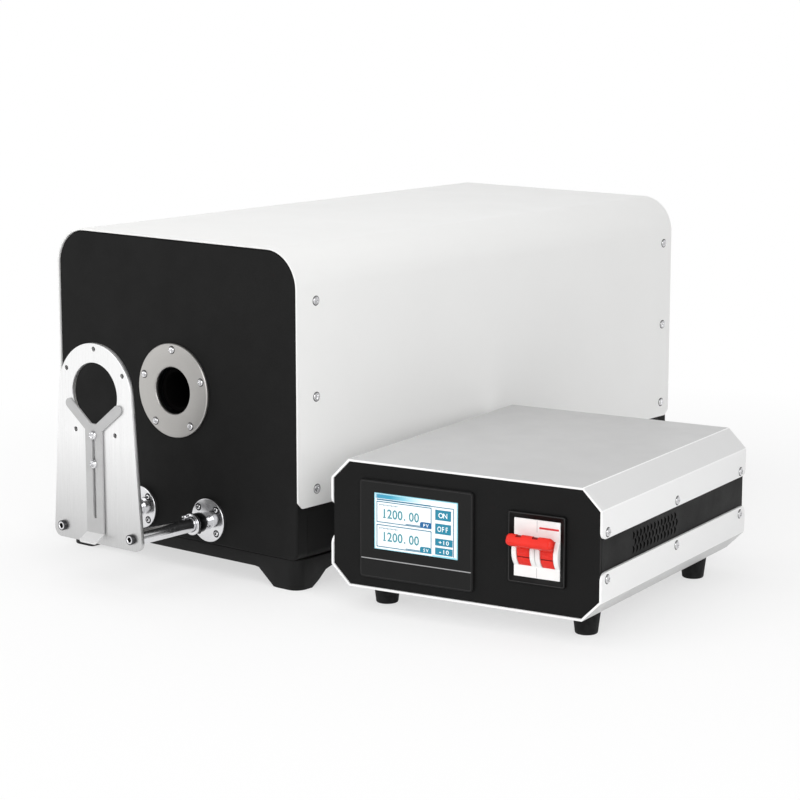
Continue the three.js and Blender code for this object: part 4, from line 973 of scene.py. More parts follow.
def make_bushing(side, x):
    """Flanged linear bushing, turned, with its nose and four sunk screws."""
    seat = PANEL_SETBACK - GAP
    front = seat - BUSH_FLANGE_THICK
    nose = front - NOSE_LENGTH
    profile = [
        (ROD_BORE, BUSH_SEAM), (ROD_BORE, nose), (NOSE_RADIUS, nose), (NOSE_RADIUS, front),
        (BUSH_FLANGE, front), (BUSH_FLANGE, seat), (BUSH_BODY, seat), (BUSH_BODY, BUSH_BACK),
        (ROD_BORE, BUSH_BACK), (ROD_BORE, BUSH_SEAM),
    ]
    line = softened(profile, [0, 0.3, 0.4, 0.5, 1.0, 0.4, 0, 0.8, 0.4, 0])
    piece = Piece().turned(line, (x, GUIDE_HEIGHT))
    wide, narrow, radius = BUSH_COUNTERBORE, BUSH_SCREW_HEXAGON, look().furnace.bushing_screw_head / MM
    # Round each screw a flat black disc stands for its counterbore, and a black hexagon on its head stands
    # for its socket: painted shade.
    for angle in BUSH_SCREW_ANGLES:
        centre = round_at(x, GUIDE_HEIGHT, BUSH_SCREW_CIRCLE, angle)
        ring = [(0, front - 0.08), (wide, front - 0.08), (wide, front + 0.3), (0, front + 0.3)]
        piece.turned(ring, centre, steps=32, slot=1)
        foot = np.array([centre[0], front - 0.05, centre[1]])
        piece.screw(foot, (0, -1, 0), radius, BUSH_SCREW_RISE, slot=2, cross=False)
        hole = [(0, front - 1.42), (narrow, front - 1.42), (narrow, front - 0.8), (0, front - 0.8)]
        piece.turned(hole, centre, steps=6, slot=1)
    ground = finished("bushing_ground_steel", lambda n: polished(n, look().colours.chrome, 0.12))
    parts = [ground, dark_recess(), chrome()]
    piece.made(f"bushing_{side}", on_furnace, parts, "root", "bushing_chrome", [f"guide_bushing_{side}"])
    make_collar(side, x, nose - GAP)


def make_collar(side, x, start):
    """Lock collar: a dark turned sleeve, a bright ring, and a tongue whose tip is an arc."""
    ring, end = start - COLLAR_LENGTH, start - COLLAR_LENGTH - COLLAR_RING_LENGTH
    collar = Piece()
    sleeve = [
        (ROD_BORE, start - 5), (ROD_BORE, start), (COLLAR_RADIUS, start), (COLLAR_RADIUS, ring),
        (ROD_BORE + 1, ring),
    ]
    collar.turned(softened(sleeve, [0, 0.3, 0.6, 0.3, 0]), (x, GUIDE_HEIGHT))
    bright = [
        (ROD_BORE + 1, ring), (COLLAR_RING, ring), (COLLAR_RING, end), (ROD_BORE, end), (ROD_BORE, start - 5),
    ]
    collar.turned(softened(bright, [0, 0.5, 0.9, 0.5, 0]), (x, GUIDE_HEIGHT), slot=1)
    half = TONGUE_WIDTH / 2
    back, tip = ring - COLLAR_RING_LENGTH / 2, end - TONGUE_REACH
    outline = filleted([(-half, back), (-half, tip), (half, tip), (half, back)], [0, 2.6, 2.6, 0], 8)
    low = COLLAR_RING - 0.9 - TONGUE_THICKNESS
    tilt = math.radians(TONGUE_TILT)

    def leaning(points, depth):
        """Outline (x, y) at a height over the rod's axis, turned about that axis by the tilt."""
        turned_x = points[:, 0] * math.cos(tilt) - depth * math.sin(tilt)
        turned_z = points[:, 0] * math.sin(tilt) + depth * math.cos(tilt)
        return np.stack([x + turned_x, points[:, 1], GUIDE_HEIGHT + turned_z], -1)

    collar.plate(outline[::-1], rim(low, low + TONGUE_THICKNESS, 0.4, 0.4, 3), carry=leaning, slot=1)
    dark = finished("collar_black_oxide", lambda n: blackened(n, srgb("1C1C1E")))
    collar.made(
        f"collar_{side}", on_furnace, [dark, chrome()], "root", "collar_dark_steel", [f"lock_collar_{side}"])


# Stand pieces

def make_rod(side, x):
    """Guide rod, ground and polished."""
    start = PLATE_BACK + GAP
    profile = [
        (0, start + BOLT_REACH), (BOLT_HOLE, start + BOLT_REACH), (BOLT_HOLE, start), (ROD_RADIUS, start),
        (ROD_RADIUS, start + ROD_LENGTH), (0, start + ROD_LENGTH),
    ]
    rod = Piece().turned(softened(profile, [0, 0, 0.2, 1, 1, 0]), (x, GUIDE_HEIGHT))
    ground = finished("rod_ground_steel", lambda n: polished(n, look().colours.chrome, 0.1, (20, 240, 20)))
    rod.made(f"rod_{side}", on_furnace, [ground], "stand_carriage", "rod_chrome", [f"guide_rod_{side}"])


def make_bolt(side, x):
    """Socket head bolt of a rod: a hexagon r = s / cos(u) sunk in a round head, where u is the angle
    from the nearest flat's middle."""
    seat = PLATE_FRONT - GAP
    head = seat - BOLT_HEIGHT
    t = np.arange(TURN_STEPS) / TURN_STEPS * 2 * math.pi
    hexagon = BOLT_HEXAGON / np.cos(np.mod(t, math.pi / 3) - math.pi / 6)
    outside = [
        (0, PLATE_BACK + BOLT_REACH), (BOLT_SHANK, PLATE_BACK + BOLT_REACH), (BOLT_SHANK, seat),
        (BOLT_HEAD, seat), (BOLT_HEAD, head), (BOLT_HEAD - 1.2, head),
    ]
    line = softened(outside, [0, 0.4, 0, 0.3, 0.8, 0])
    rows = [(np.full_like(t, r), h) for r, h in line]
    bright = [(rows[-1][0], head), (hexagon + 0.25, head), (hexagon, head + 0.3)]
    recess = [(hexagon, head + 0.3), (hexagon, head + 2.6), (hexagon * 0.5, head + 3.1), (0 * t, head + 3.3)]
    bolt = Piece()
    # The head's side and outer rim take a dark steel and its hexagon a black: painted shade on a chrome bolt.
    # The ring between stays chrome.
    for slot, part in ((0, rows), (1, bright), (2, recess)):
        bolt.grid(np.array([
            np.stack([x + r * np.cos(t), np.full_like(t, h), GUIDE_HEIGHT + r * np.sin(t)], -1)
            for r, h in part
        ]), slot=slot)
    dark = finished("bolt_dark_steel", lambda n: blackened(n, srgb("4A4A4C"), 0.22))
    coats = [dark, chrome(), dark_recess()]
    bolt.made(f"bolt_{side}", on_furnace, coats, "stand_carriage", "bolt_chrome", [f"rod_bolt_{side}"])


def stand_outline():
    """Ring above and wide foot below, joined by straight lines that touch both arcs."""
    foot_x = PLATE_FOOT_WIDTH / 2 - PLATE_FOOT_RADIUS
    foot_z = PLATE_FOOT_BOTTOM + PLATE_FOOT_RADIUS
    dx, dz = -foot_x, RING_HEIGHT - foot_z
    side = math.atan2(dz, dx) - math.acos((PLATE_FOOT_RADIUS - RING_OUTER) / math.hypot(dx, dz))

    def arc(cx, cz, radius, start, end, steps):
        """Points of an arc about a centre, from one angle to another."""
        a = np.linspace(start, end, steps)
        return np.stack([cx + radius * np.cos(a), cz + radius * np.sin(a)], -1)

    return np.vstack([
        arc(foot_x, foot_z, PLATE_FOOT_RADIUS, -math.pi / 2, side, 20),
        arc(0, RING_HEIGHT, RING_OUTER, side, math.pi - side, 90),
        arc(-foot_x, foot_z, PLATE_FOOT_RADIUS, math.pi - side, math.pi * 1.5, 20),
    ])


def make_stand_plate():
    """Stand plate: its outline with the ring hole, five fixture holes and the screw holes, all with
    broken edges."""
    holes = [circle(0, RING_HEIGHT, RING_HOLE, TURN_STEPS)]
    for angle in FIXTURE_ANGLES:
        place = round_at(0, RING_HEIGHT, FIXTURE_CIRCLE, angle)
        holes.append(circle(*place, FIXTURE_RADIUS, 32))
    for side in (-1, 1):
        holes.append(circle(side * FIXTURE_LOW[0], FIXTURE_LOW[1], FIXTURE_RADIUS, 32))
        holes.append(circle(side * GUIDE_X, GUIDE_HEIGHT, BOLT_HOLE, 32))
    holes += [circle(0, z, PLATE_SCREW_HOLE, 24) for z in REST_SCREWS]
    outer, inner = (rim(PLATE_FRONT, PLATE_BACK, edge, edge, steps) for edge, steps in ((0.5, 3), (0.35, 2)))
    piece = Piece().plate(stand_outline(), outer, holes, inner)
    piece.made(
        "ring_plate", on_furnace, [steel_plate()], "stand_carriage", "plate_brushed_steel", ["stand_plate"])


def make_rest():
    """V bracket: a slotted strip whose two arms end in round tips. The strip is worked out flat, as
    (x, s), and its lower end follows the bend: an arc of the inner radius plus the depth, then
    a straight tab."""
    a = math.radians(ARM_ANGLE)
    along, across = np.array([math.cos(a), math.sin(a)]), np.array([math.sin(a), -math.cos(a)])
    tip = np.array([REST_FLAT / 2, REST_VERTEX]) + ARM_LENGTH * along + ARM_TIP * across
    t = np.linspace(a - math.pi / 2, a + math.pi / 2, 20)
    right = tip + ARM_TIP * np.stack([np.cos(t), np.sin(t)], -1)
    half, top, radius, lean = REST_WIDTH / 2, REST_BEND, REST_BEND_RADIUS, math.radians(TAB_ANGLE)
    low = top - radius * lean
    bottom = low - TAB_LENGTH
    root = REST_VERTEX + (half - REST_FLAT / 2) * math.tan(a) - 2 * ARM_TIP / math.cos(a)
    side = np.stack([np.full(7, half), np.linspace(low, top, 7)], -1)
    corners = [(-half, bottom + 8), (-half, bottom), (half, bottom), (half, bottom + 8)]
    tab = filleted(corners, [0, TAB_CORNER, TAB_CORNER, 0], 6, closed=False)
    outline = np.vstack([
        tab, side, [(half, root)], right, [(REST_FLAT / 2, REST_VERTEX), (-REST_FLAT / 2, REST_VERTEX)],
        (right * [-1, 1])[::-1], [(-half, root)], (side * [-1, 1])[::-1],
    ])
    slot_middle, slot_length = (SLOT_TOP + SLOT_BOTTOM) / 2, SLOT_TOP - SLOT_BOTTOM
    slot = rounded_box(0, slot_middle, 2 * SLOT_HALF, slot_length, SLOT_HALF - 0.05, 10)
    lines = [(len(tab) + i, len(outline) - 1 - i) for i in range(len(side))]

    def bent(points, depth):
        """Flat above the bend; below it, turned about the bend's centre by (top - s) / radius."""
        x, s = points[:, 0], points[:, 1]
        angle = np.clip((top - s) / radius, 0, lean)
        beyond = np.maximum(low - s, 0)
        centre = REST_FRONT - radius
        reach = REST_BACK - depth - centre
        y = centre + reach * np.cos(angle) - beyond * np.sin(angle)
        z = np.where(s > top, s, top - reach * np.sin(angle) - beyond * np.cos(angle))
        return np.stack([x, y, z], -1)

    outer, inner = (rim(0, REST_SHEET, edge, edge, 2) for edge in (0.3, 0.25))
    piece = Piece().plate(outline, outer, [slot], inner, bent, lines=lines)
    satin = finished("rest_blasted_steel", lambda n: blasted(n, srgb("BCBCBC"), 0.45, 0.4))
    bright = finished("rest_tab_steel", lambda n: blasted(n, srgb("E2E2E2"), 0.4, 0.2))
    rest = piece.made(
        "thermocouple_rest", on_furnace, [satin, bright], "v_rest", "bracket_satin_steel", ["v_bracket"])
    # Faces below the bend take the lighter steel: a painted highlight on the same sheet as the strip.
    middles = in_threes(rest.data.polygons, "center")
    below = middles[:, 2] < (top - 1.5) * MM
    rest.data.polygons.foreach_set("material_index", below.astype(np.int32))
    seat = REST_FRONT - GAP
    shank = [(0, PLATE_BACK), (2, PLATE_BACK), (2, seat), (3, seat + 0.01), (0, seat + 0.01)]
    for name, z in zip(("upper", "lower"), REST_SCREWS):
        screw = Piece().turned(shank, (0, z), steps=SMALL_STEPS)
        screw.screw(np.array([0, seat, z]), (0, -1, 0), REST_SCREW_RADIUS, REST_SCREW_HEIGHT, sink=0, turn=z)
        node = f"bracket_screw_{name}"
        screw.made(f"rest_screw_{name}", on_furnace, [chrome()], "stand_carriage", "bolt_chrome", [node])


# Control unit pieces

def shell_line(side, fold):
    """Outer line of one shell's section: up (or down) one side, over two 45 degree folds, and back."""
    half, cut = UNIT_WIDTH / 2, UNIT_CHAMFER
    edge = UPPER_EDGE if side > 0 else LOWER_EDGE
    end = UNIT_FEET + UNIT_HEIGHT if side > 0 else UNIT_FEET
    corners = [
        (half, edge), (half, end - side * cut), (half - cut, end), (-half + cut, end),
        (-half, end - side * cut), (-half, edge),
    ]
    line = filleted(corners, [0, fold, fold, fold, fold, 0], 6, closed=False)
    t = np.linspace(0, math.pi / 2, 9)
    rise = SHELL_CORNER * (1 - np.cos(t))[2:]
    near = np.stack([np.full(7, half), edge + side * rise], -1)
    return np.vstack([line[:1], near, line[1:-1], (near * [-1, 1])[::-1], line[-1:]])


def face_slots(loop, outer_count):
    """Slot of each face between neighbouring points of a shell's loop, from the way it runs: level 0,
    slanted 1, upright 2 and fold 3; the inner faces, past the outer line, are upright ones."""
    # These slots paint shade and highlight: level and slanted faces take greyer coats, folds and edges a
    # brighter one.
    run, rise = abs(np.roll(loop, -1, 0) - loop).T
    near = 1e-4
    slots = np.full(len(loop), 3)
    slots[rise < near], slots[run < near], slots[abs(run - rise) < near] = 0, 2, 1
    slots[outer_count - 1:] = 2
    return slots


def make_shell(side, name, slot, node):
    """Folded sheet of one shell carried along y; its corners beside the black strip are quarter
    circles: y = depth + (R - (R^2 - (R - h)^2)^0.5) near the front, h being the height over the edge."""
    fold = look().unit.fold / MM
    edge = UPPER_EDGE if side > 0 else LOWER_EDGE
    line, sharp = shell_line(side, fold), shell_line(side, 0)
    inner = sheet_loop(sharp, UNIT_SHEET if side > 0 else -UNIT_SHEET)[len(sharp):]
    loop = np.vstack([line, inner])
    slots = face_slots(loop, len(line))
    if side < 0:
        # The slanted faces below take a greyer coat of their own: painted shade.
        slots[slots == 1] = 4
        loop, slots = loop[::-1], np.roll(slots[::-1], -1)

    def carry(points, depth):
        """Section (x, z) at a depth, cut back beside the strip."""
        rise = np.clip(side * (points[:, 1] - edge), 0, SHELL_CORNER)
        cut = SHELL_CORNER - np.sqrt(np.clip(SHELL_CORNER ** 2 - (SHELL_CORNER - rise) ** 2, 0, None))
        y = depth + cut * (1 - 2 * depth / UNIT_DEPTH)
        return np.stack([points[:, 0], y, points[:, 1]], -1)

    # Folds and the cut ends take the brightest coat: a painted highlight.
    piece = Piece().plate(loop, rim(0, UNIT_DEPTH, 0.3, 0.3, 3), carry=carry, slot=3, sides=slots)
    piece.made(name, on_unit, unit_coats_painted_shade(), "root", slot, [node])


def vent(y, z):
    """Outline of one vent at (y, z): a pointed leaf of half width w (1 - t^2)^0.8 whose middle line
    bows backwards by b (1 - t^2), at height h t, for t from -1 to 1."""
    t = np.sin(np.linspace(-math.pi / 2, math.pi / 2, 11))
    hollow = np.clip(1 - t ** 2, 0, 1)
    middle, half = y + VENT_BOW * hollow - VENT_BOW / 2, VENT_HALF * hollow ** 0.8
    right = np.stack([middle + half, z + VENT_REACH * t], -1)
    left = np.stack([middle - half, z + VENT_REACH * t], -1)
    return np.vstack([right, left[-2:0:-1]])


def make_strip(side, name):
    """Black strip behind the gap between the shells, with three staggered rows of curved vents."""
    outer = side * (UNIT_WIDTH / 2 - UNIT_SHEET - GAP)
    start = UNIT_PANEL_SETBACK + UNIT_PANEL_SHEET + GAP
    end = UNIT_DEPTH - start
    low, high = LOWER_EDGE - STRIP_LAP, UPPER_EDGE + STRIP_LAP
    outline = rounded_box((start + end) / 2, (low + high) / 2, end - start, high - low, 0.5, 3)
    vents = [
        vent(VENT_START + (column + 0.5 * (row % 2)) * VENT_PITCH, VENT_MIDDLE + (row - 1) * VENT_ROW_PITCH)
        for row in range(VENT_ROWS) for column in range(VENT_COLUMNS)
    ]
    ways = [(0, outer), (0, outer - side * STRIP_SHEET)]
    strip = Piece().plate(outline, ways, vents, ways, along_x)
    node = f"unit_side_strip_{name}"
    strip.made(f"vent_strip_{name}", on_unit, [strip_coat()], "root", "unit_black_paint", [node])


def make_unit_screws():
    """Pan heads along both shells' edges, three on each side."""
    places = [(y, z, y + z) for y in UNIT_SCREWS_Y for z in UNIT_SCREWS_Z]
    side_screws("unit_screws", on_unit, UNIT_WIDTH, places, look().unit.screw_head, UNIT_SCREW_RISE)


def make_unit_foot(end, side, x, y):
    """Tapered rubber foot, turned, its foot and top edges round."""
    top = UNIT_FEET - GAP
    profile = [(0, 0), (UNIT_FOOT_BOTTOM, 0), (UNIT_FOOT_TOP, top), (0, top)]
    piece = Piece().turned(softened(profile, [0, 2.0, 1.5, 0], 6), (x, y), "z")
    feet = finished("unit_foot_rubber", lambda n: rubber(n, srgb("0E0E0F")))
    piece.made(f"foot_{end}_{side}", on_unit, [feet], "root", "foot_rubber", [f"unit_foot_{end}_{side}"])


def slab(piece, outline, front, back, slot, soft=0.04):
    """A thin raised patch with broken edges."""
    return piece.plate(outline, rim(front, back, soft, 0, 2), slot=slot)


def edging(piece, outline, start, end, face, slot):
    """A raised line that follows an outline, between two distances inside it."""
    section = rim(face - 0.12, face + 0.1, 0.05, 0, 2)
    piece.plate(grown(outline, -start), section, [grown(outline, -end)], section, slot=slot)


def screen_point(u, v):
    """A place on the display, as shares of its width from the left and of its height from the top."""
    return DISPLAY_X + (u - 0.5) * DISPLAY_WIDTH, DISPLAY_Z + (0.5 - v) * DISPLAY_HEIGHT


def screen_patch(u0, v0, u1, v1, radius=0.4):
    """Outline of a patch between two places on the display."""
    (x0, z1), (x1, z0) = screen_point(u0, v0), screen_point(u1, v1)
    return rounded_box((x0 + x1) / 2, (z0 + z1) / 2, x1 - x0, z1 - z0, radius, 5)


def lettering(piece, text, middle, height, pitch, front, slot, narrow=0.82):
    """Each character of a plain text made a mesh, set at its own pitch, raised off the glass."""
    for i, character in enumerate(text):
        curve = bpy.data.curves.new("character", "FONT")
        curve.body, curve.size, curve.extrude = character, height / 0.72, 0.05
        curve.align_x, curve.resolution_u, curve.offset = "CENTER", 4, 0.018 * height
        holder = bpy.data.objects.new("character", curve)
        mesh = holder.to_mesh()
        mesh.calc_loop_triangles()
        points = in_threes(mesh.vertices, "co")
        faces = in_threes(mesh.loop_triangles, "vertices", np.int32)
        x = middle[0] + (i - (len(text) - 1) / 2) * pitch + points[:, 0] * narrow
        z = middle[1] - height / 2 + points[:, 1]
        piece.add(np.stack([x, front - points[:, 2], z], -1), faces, True, slot)
        holder.to_mesh_clear()
        bpy.data.objects.remove(holder)
        bpy.data.curves.remove(curve)


def header_band(name, colours):
    """Header of the display: white, to blue, to white across its width, from the place measured
    from the display's left edge and turned with the unit."""
    f = Finish(name, colours.screen, 0.2, Emission_Strength=0.12)
    left = on_unit(np.array([DISPLAY_X - DISPLAY_WIDTH / 2, 0, DISPLAY_Z])) * MM
    turned = f.node("ShaderNodeMapping", {
        "Vector": f.place, "Location": tuple(left), "Rotation": (0, 0, math.radians(UNIT_TURN)),
    }, vector_type="TEXTURE")
    across = f.node("ShaderNodeSeparateXYZ", {0: turned.outputs[0]}).outputs["X"]
    share = f.spread(across, 0, 1, 0, DISPLAY_WIDTH * MM)
    ramp = f.node("ShaderNodeValToRGB", {"Fac": share})
    stops = [(0.0, "F4FBFC"), (0.04, "3C93B4"), (0.2, "3A9DBC"), (0.36, "86CBDD"), (0.62, "F2FBFC")]
    elements = ramp.color_ramp.elements
    while len(elements) < len(stops):
        elements.new(0.5)
    for element, (at, text) in zip(elements, stops):
        element.position, element.color = at, (*srgb(text), 1)
    for socket in ("Base Color", "Emission Color"):
        f.tree.links.new(ramp.outputs[0], f.shader.inputs[socket])
    return f.bumped(f.noise(3000, 1), 0.02, 0.00002).material


def make_screen():
    """Screen bezel with its sloped opening, the line under it, and the lit display."""
    colours = look().colours
    face, seat = UNIT_PANEL_SETBACK - GAP - SCREEN_PROUD, UNIT_PANEL_SETBACK - GAP
    outline = rounded_box(SCREEN_X, SCREEN_Z, SCREEN_WIDTH, SCREEN_HEIGHT, SCREEN_RADIUS, 10)
    hole = rounded_box(DISPLAY_X, DISPLAY_Z, DISPLAY_WIDTH, DISPLAY_HEIGHT, 0.6, 4)
    bezel = finished("screen_black_plastic", lambda n: moulded(n, srgb("1B1B1B"), 0.42, 0.15, 0.14))
    line = finished("screen_line", lambda n: moulded(n, srgb("A9A9AA"), 0.4, 0.1))
    piece = Piece().plate(
        outline, rim(face, seat, 1.3, 0, 5), [hole],
        [(1.1, face), (0.5, face + 0.25), (0.1, face + 0.75), (0, face + 1.0), (0, seat)],
    )
    ruled = rounded_box(SCREEN_X, SCREEN_LINE_Z, SCREEN_WIDTH - 4, 1.0, 0.3, 3)
    slab(piece, ruled, face - 0.08, face + 0.2, 1)
    lip = finished("screen_lip", lambda n: moulded(n, srgb("303030"), 0.4, 0.1))
    edging(piece, outline, 1.5, 2.1, face, 2)
    piece.made("screen_frame", on_unit, [bezel, line, lip], "root", "screen_plastic", ["screen_bezel"])
    names = ("back", "white", "frame", "tab", "button", "digits", "light")
    tones = (
        srgb("9AD8E8"), colours.screen, srgb("1B6C8C"), srgb("0F5F96"), colours.screen_blue,
        colours.digits, srgb("F4FCFD"),
    )
    materials = [finished(f"screen_{n}", lambda m, t=t: lit(m, t)) for n, t in zip(names, tones)]
    materials.append(finished("screen_header", lambda n: header_band(n, colours)))
    back, white, frame_line, tab, button, digits, light, header = range(8)
    glass = face + DISPLAY_RECESS
    display = Piece()
    sheet = rounded_box(DISPLAY_X, DISPLAY_Z, DISPLAY_WIDTH - 0.6, DISPLAY_HEIGHT - 0.6, 0.3, 3)
    slab(display, sheet, glass, glass + 2, back)
    layers = [
        (0.015, 0.02, 0.985, 0.985, white, 0.05), (0.017, 0.023, 0.983, 0.095, header, 0.1),
        (0.03, 0.105, 0.68, 0.128, frame_line, 0.1), (0.66, 0.112, 0.955, 0.127, frame_line, 0.11),
        (0.945, 0.115, 0.955, 0.96, frame_line, 0.1), (0.7, 0.965, 0.98, 0.985, back, 0.1),
    ]
    for top, bottom in ((0.145, 0.52), (0.555, 0.955)):
        layers += [
            (0.03, top, 0.69, bottom, frame_line, 0.1),
            (0.04, top + 0.016, 0.68, bottom - 0.016, white, 0.13),
            (0.38, bottom - 0.035, 0.56, bottom - 0.02, frame_line, 0.15),
        ]
        for i in range(14):
            left, right, foot = 0.065 + 0.016 * i, 0.075 + 0.016 * i, top + 0.075 - 0.004 * (i % 3)
            layers.append((left, top + 0.05, right, foot, frame_line, 0.15))
    for v0, v1, u1 in ((0.165, 0.345, 0.92), (0.405, 0.585, 0.92), (0.665, 0.79, 0.94), (0.825, 0.95, 0.94)):
        layers += [
            (0.733, v0, u1, v1, frame_line, 0.1), (0.739, v0 + 0.008, u1 - 0.004, v1 - 0.008, button, 0.13),
        ]
    for u0, v0, u1, v1, slot, lift in layers:
        slab(display, screen_patch(u0, v0, u1, v1), glass - lift, glass, slot, 0.02)
    for bottom, mark in ((0.52, tab), (0.955, button)):
        corner = screen_patch(0.552, bottom - 0.108, 0.69, bottom - 0.002, 2.4)
        slab(display, corner, glass - 0.17, glass, mark, 0.02)
    height = look().unit.digit_height / MM
    for v in (0.35, 0.755):
        for text, u in (("1200", 0.2205), (".", 0.37), ("00", 0.481)):
            lettering(display, text, screen_point(u, v), height, 6.2, glass - 0.2, digits, 0.9)
        foot = v + height / 2 / DISPLAY_HEIGHT
        serif = screen_patch(0.108, foot - 0.014, 0.146, foot, 0.15)
        slab(display, serif, glass - 0.2, glass, digits, 0.02)
    for text, v, narrow in (("ON", 0.255, 0.95), ("OFF", 0.495, 0.78)):
        pitch = 4.9 * narrow / 0.9
        lettering(display, text, screen_point(0.826, v), 5.4, pitch, glass - 0.2, light, narrow)
    for text, v in (("PV", 0.467), ("SV", 0.902)):
        lettering(display, text, screen_point(0.622, v), 3.4, 3.6, glass - 0.22, light, 1.0)
    for text, v in (("+10", 0.727), ("-10", 0.887)):
        lettering(display, text, screen_point(0.836, v), 4.2, 4.2, glass - 0.2, light, 1.2)
    display.made("display", on_unit, materials, "root", "screen_glass", ["screen_display"])


def make_breaker():
    """Breaker: its frame, a face of two poles with white cheeks, and the marks on it."""
    face, seat = UNIT_PANEL_SETBACK - GAP - FRAME_PROUD, UNIT_PANEL_SETBACK - GAP
    outline = rounded_box(BREAKER_X, BREAKER_Z, FRAME_WIDTH, FRAME_HEIGHT, FRAME_RADIUS, 8)
    hole = rounded_box(BREAKER_X, BREAKER_Z, BREAKER_WIDTH + 0.6, BREAKER_HEIGHT + 0.6, 0.4, 3)
    gloss = finished("breaker_black_gloss", lambda n: moulded(n, srgb("0D0D0D"), 0.35, 0.06, 0.12))
    rimmed = finished("breaker_rim_edge", lambda n: moulded(n, srgb("383838"), 0.4, 0.06, 0.12))
    frame_piece = Piece().plate(
        outline, rim(face, seat, 0.9, 0, 5), [hole],
        [(4.6, face), (4.0, face + 0.3), (3.6, face + 0.5), (0, face + 1.7), (0, seat)],
    )
    edging(frame_piece, outline, 1.0, 1.8, face, 1)
    frame_piece.made(
        "breaker_frame", on_unit, [gloss, rimmed], "root", "breaker_frame_plastic", ["breaker_bezel"])
    white = finished("breaker_white", lambda n: moulded(n, look().colours.breaker, 0.4, 0.08))
    red = finished("breaker_red_mark", lambda n: moulded(n, srgb("D8363A"), 0.4, 0.05))
    seam = finished("breaker_seam", lambda n: moulded(n, srgb("B5B5B6"), 0.5, 0.05))
    body = Piece()
    slots = [rounded_box(x, HUB_Z, BARREL_WIDTH + 1, 2 * CHORD, 0.3, 3) for x in POLES]
    body.plate(
        rounded_box(BREAKER_X, BREAKER_Z, BREAKER_WIDTH, BREAKER_HEIGHT, 0.5, 3),
        rim(BREAKER_FACE, BREAKER_FACE + BREAKER_DEPTH, 0.4, 0.2, 3), slots,
        rim(BREAKER_FACE, BREAKER_FACE + BREAKER_DEPTH, 0.2, 0.1, 2),
    )
    angle = np.linspace(-1, 1, 41) * math.asin(CHORD / CHEEK_RADIUS)
    arc = np.stack([HUB_Y - CHEEK_RADIUS * np.cos(angle), HUB_Z + CHEEK_RADIUS * np.sin(angle)], -1)
    back = np.array([[BREAKER_FACE + 3, HUB_Z + CHORD], [BREAKER_FACE + 3, HUB_Z - CHORD]])
    section = np.vstack([arc, back])[::-1]
    for pole in POLES:
        for side in (-1, 1):
            low, high = sorted((pole + side * (BARREL_WIDTH / 2 + 0.5), pole + side * CHEEK_REACH))
            body.plate(section, rim(low, high, 0.5, 0.5, 3), carry=along_x)
    back = BREAKER_FACE + 0.1
    for rise, height in ((23, 12), (-24, 10)):
        between = rounded_box(BREAKER_X, BREAKER_Z + rise, 0.5, height, 0.2, 3)
        slab(body, between, BREAKER_FACE - 0.05, back, 2)
    band = rounded_box(BREAKER_X + 13.3, BREAKER_Z + 21.8, 21.5, 2.0, 0.3, 3)
    slab(body, band, BREAKER_FACE - 0.06, back, 1)
    dot = np.array([BREAKER_X + 22.4, BREAKER_FACE, BREAKER_Z - 12])
    body.screw(dot, (0, -1, 0), 0.9, 0.2, slot=2, cross=False)
    body.made("breaker_case", on_unit, [white, red, seam], "root", "breaker_white_plastic", ["breaker_body"])


def toggle_point(radial, tangential, x):
    """A place on the toggle: radial out of the hub at the ON angle, tangential upwards from it."""
    a = math.radians(TOGGLE_ANGLE)
    y = HUB_Y - radial * math.cos(a) + tangential * math.sin(a)
    z = HUB_Z + radial * math.sin(a) + tangential * math.cos(a)
    return np.stack(np.broadcast_arrays(x, y, z), -1)


def toggle_plastics():
    """Red of the toggle, and a darker red in its pockets and grooves: painted shade."""
    red = finished("toggle_red_gloss", lambda n: moulded(n, look().colours.toggle, 0.3, 0.06))
    return red, finished("toggle_pocket", lambda n: moulded(n, srgb("7E1512"), 0.5, 0.05))


def make_toggle():
    """Tie bar with round ends and two pockets in its upper edge over two levers."""
    red, pocket_groove_shade = toggle_plastics()
    piece = Piece()
    section = rounded_box(0, 0, BAR_THICK, BAR_HEIGHT, BAR_CORNER, 8)
    ends = np.linspace(BAR_STRAIGHT, 1, 9)
    u = np.concatenate([-ends[::-1], np.linspace(-0.8, 0.8, 81), ends])
    over = np.clip((abs(u) - BAR_STRAIGHT) / (1 - BAR_STRAIGHT), 0, 1)
    scale = np.sqrt(1 - 0.97 * over ** 2)
    x = BREAKER_X + u * BAR_WIDTH / 2
    along = sum(np.clip((WELL_HALF - abs(u - middle)) / 0.02, 0, 1) for middle in WELL_PLACES)
    upper = np.clip((section[:, 1] - BAR_HEIGHT / 2 + WELL_HEIGHT) / 0.8, 0, 1) * (section[:, 0] > 0)
    well = along[:, None] * upper
    scale = scale[:, None] * (1 - WELL_DEPTH * well)
    bar = toggle_point(TOGGLE_REACH + scale * section[:, 0], scale * section[:, 1], x[:, None])
    # Faces deep in the pockets take the darker red: painted shade.
    piece.grid(bar, slot=(well[:-1] * well[1:] > 0.2).astype(int))
    for end in (0, -1):
        middle = toggle_point(TOGGLE_REACH, 0, x[end])
        piece.grid(np.stack([bar[end], np.broadcast_to(middle, bar[end].shape)]))
    foot, tip, width = BARREL_RADIUS - 1, TOGGLE_REACH, BARREL_WIDTH / 2
    corners = [(foot, -LEVER_FOOT), (tip, -LEVER_TIP), (tip, LEVER_TIP), (foot, LEVER_FOOT)]
    lever = filleted(corners, [0, 0.9, 0.9, 0], 3)
    carry = lambda points, depth: toggle_point(points[:, 0], points[:, 1], depth)
    for pole in POLES:
        piece.plate(lever, rim(pole - width, pole + width, 0.5, 0.5, 3), carry=carry)
    piece.made("toggle_bar", on_unit, [red, pocket_groove_shade], "toggle", "toggle_red_plastic", ["breaker_toggle"])


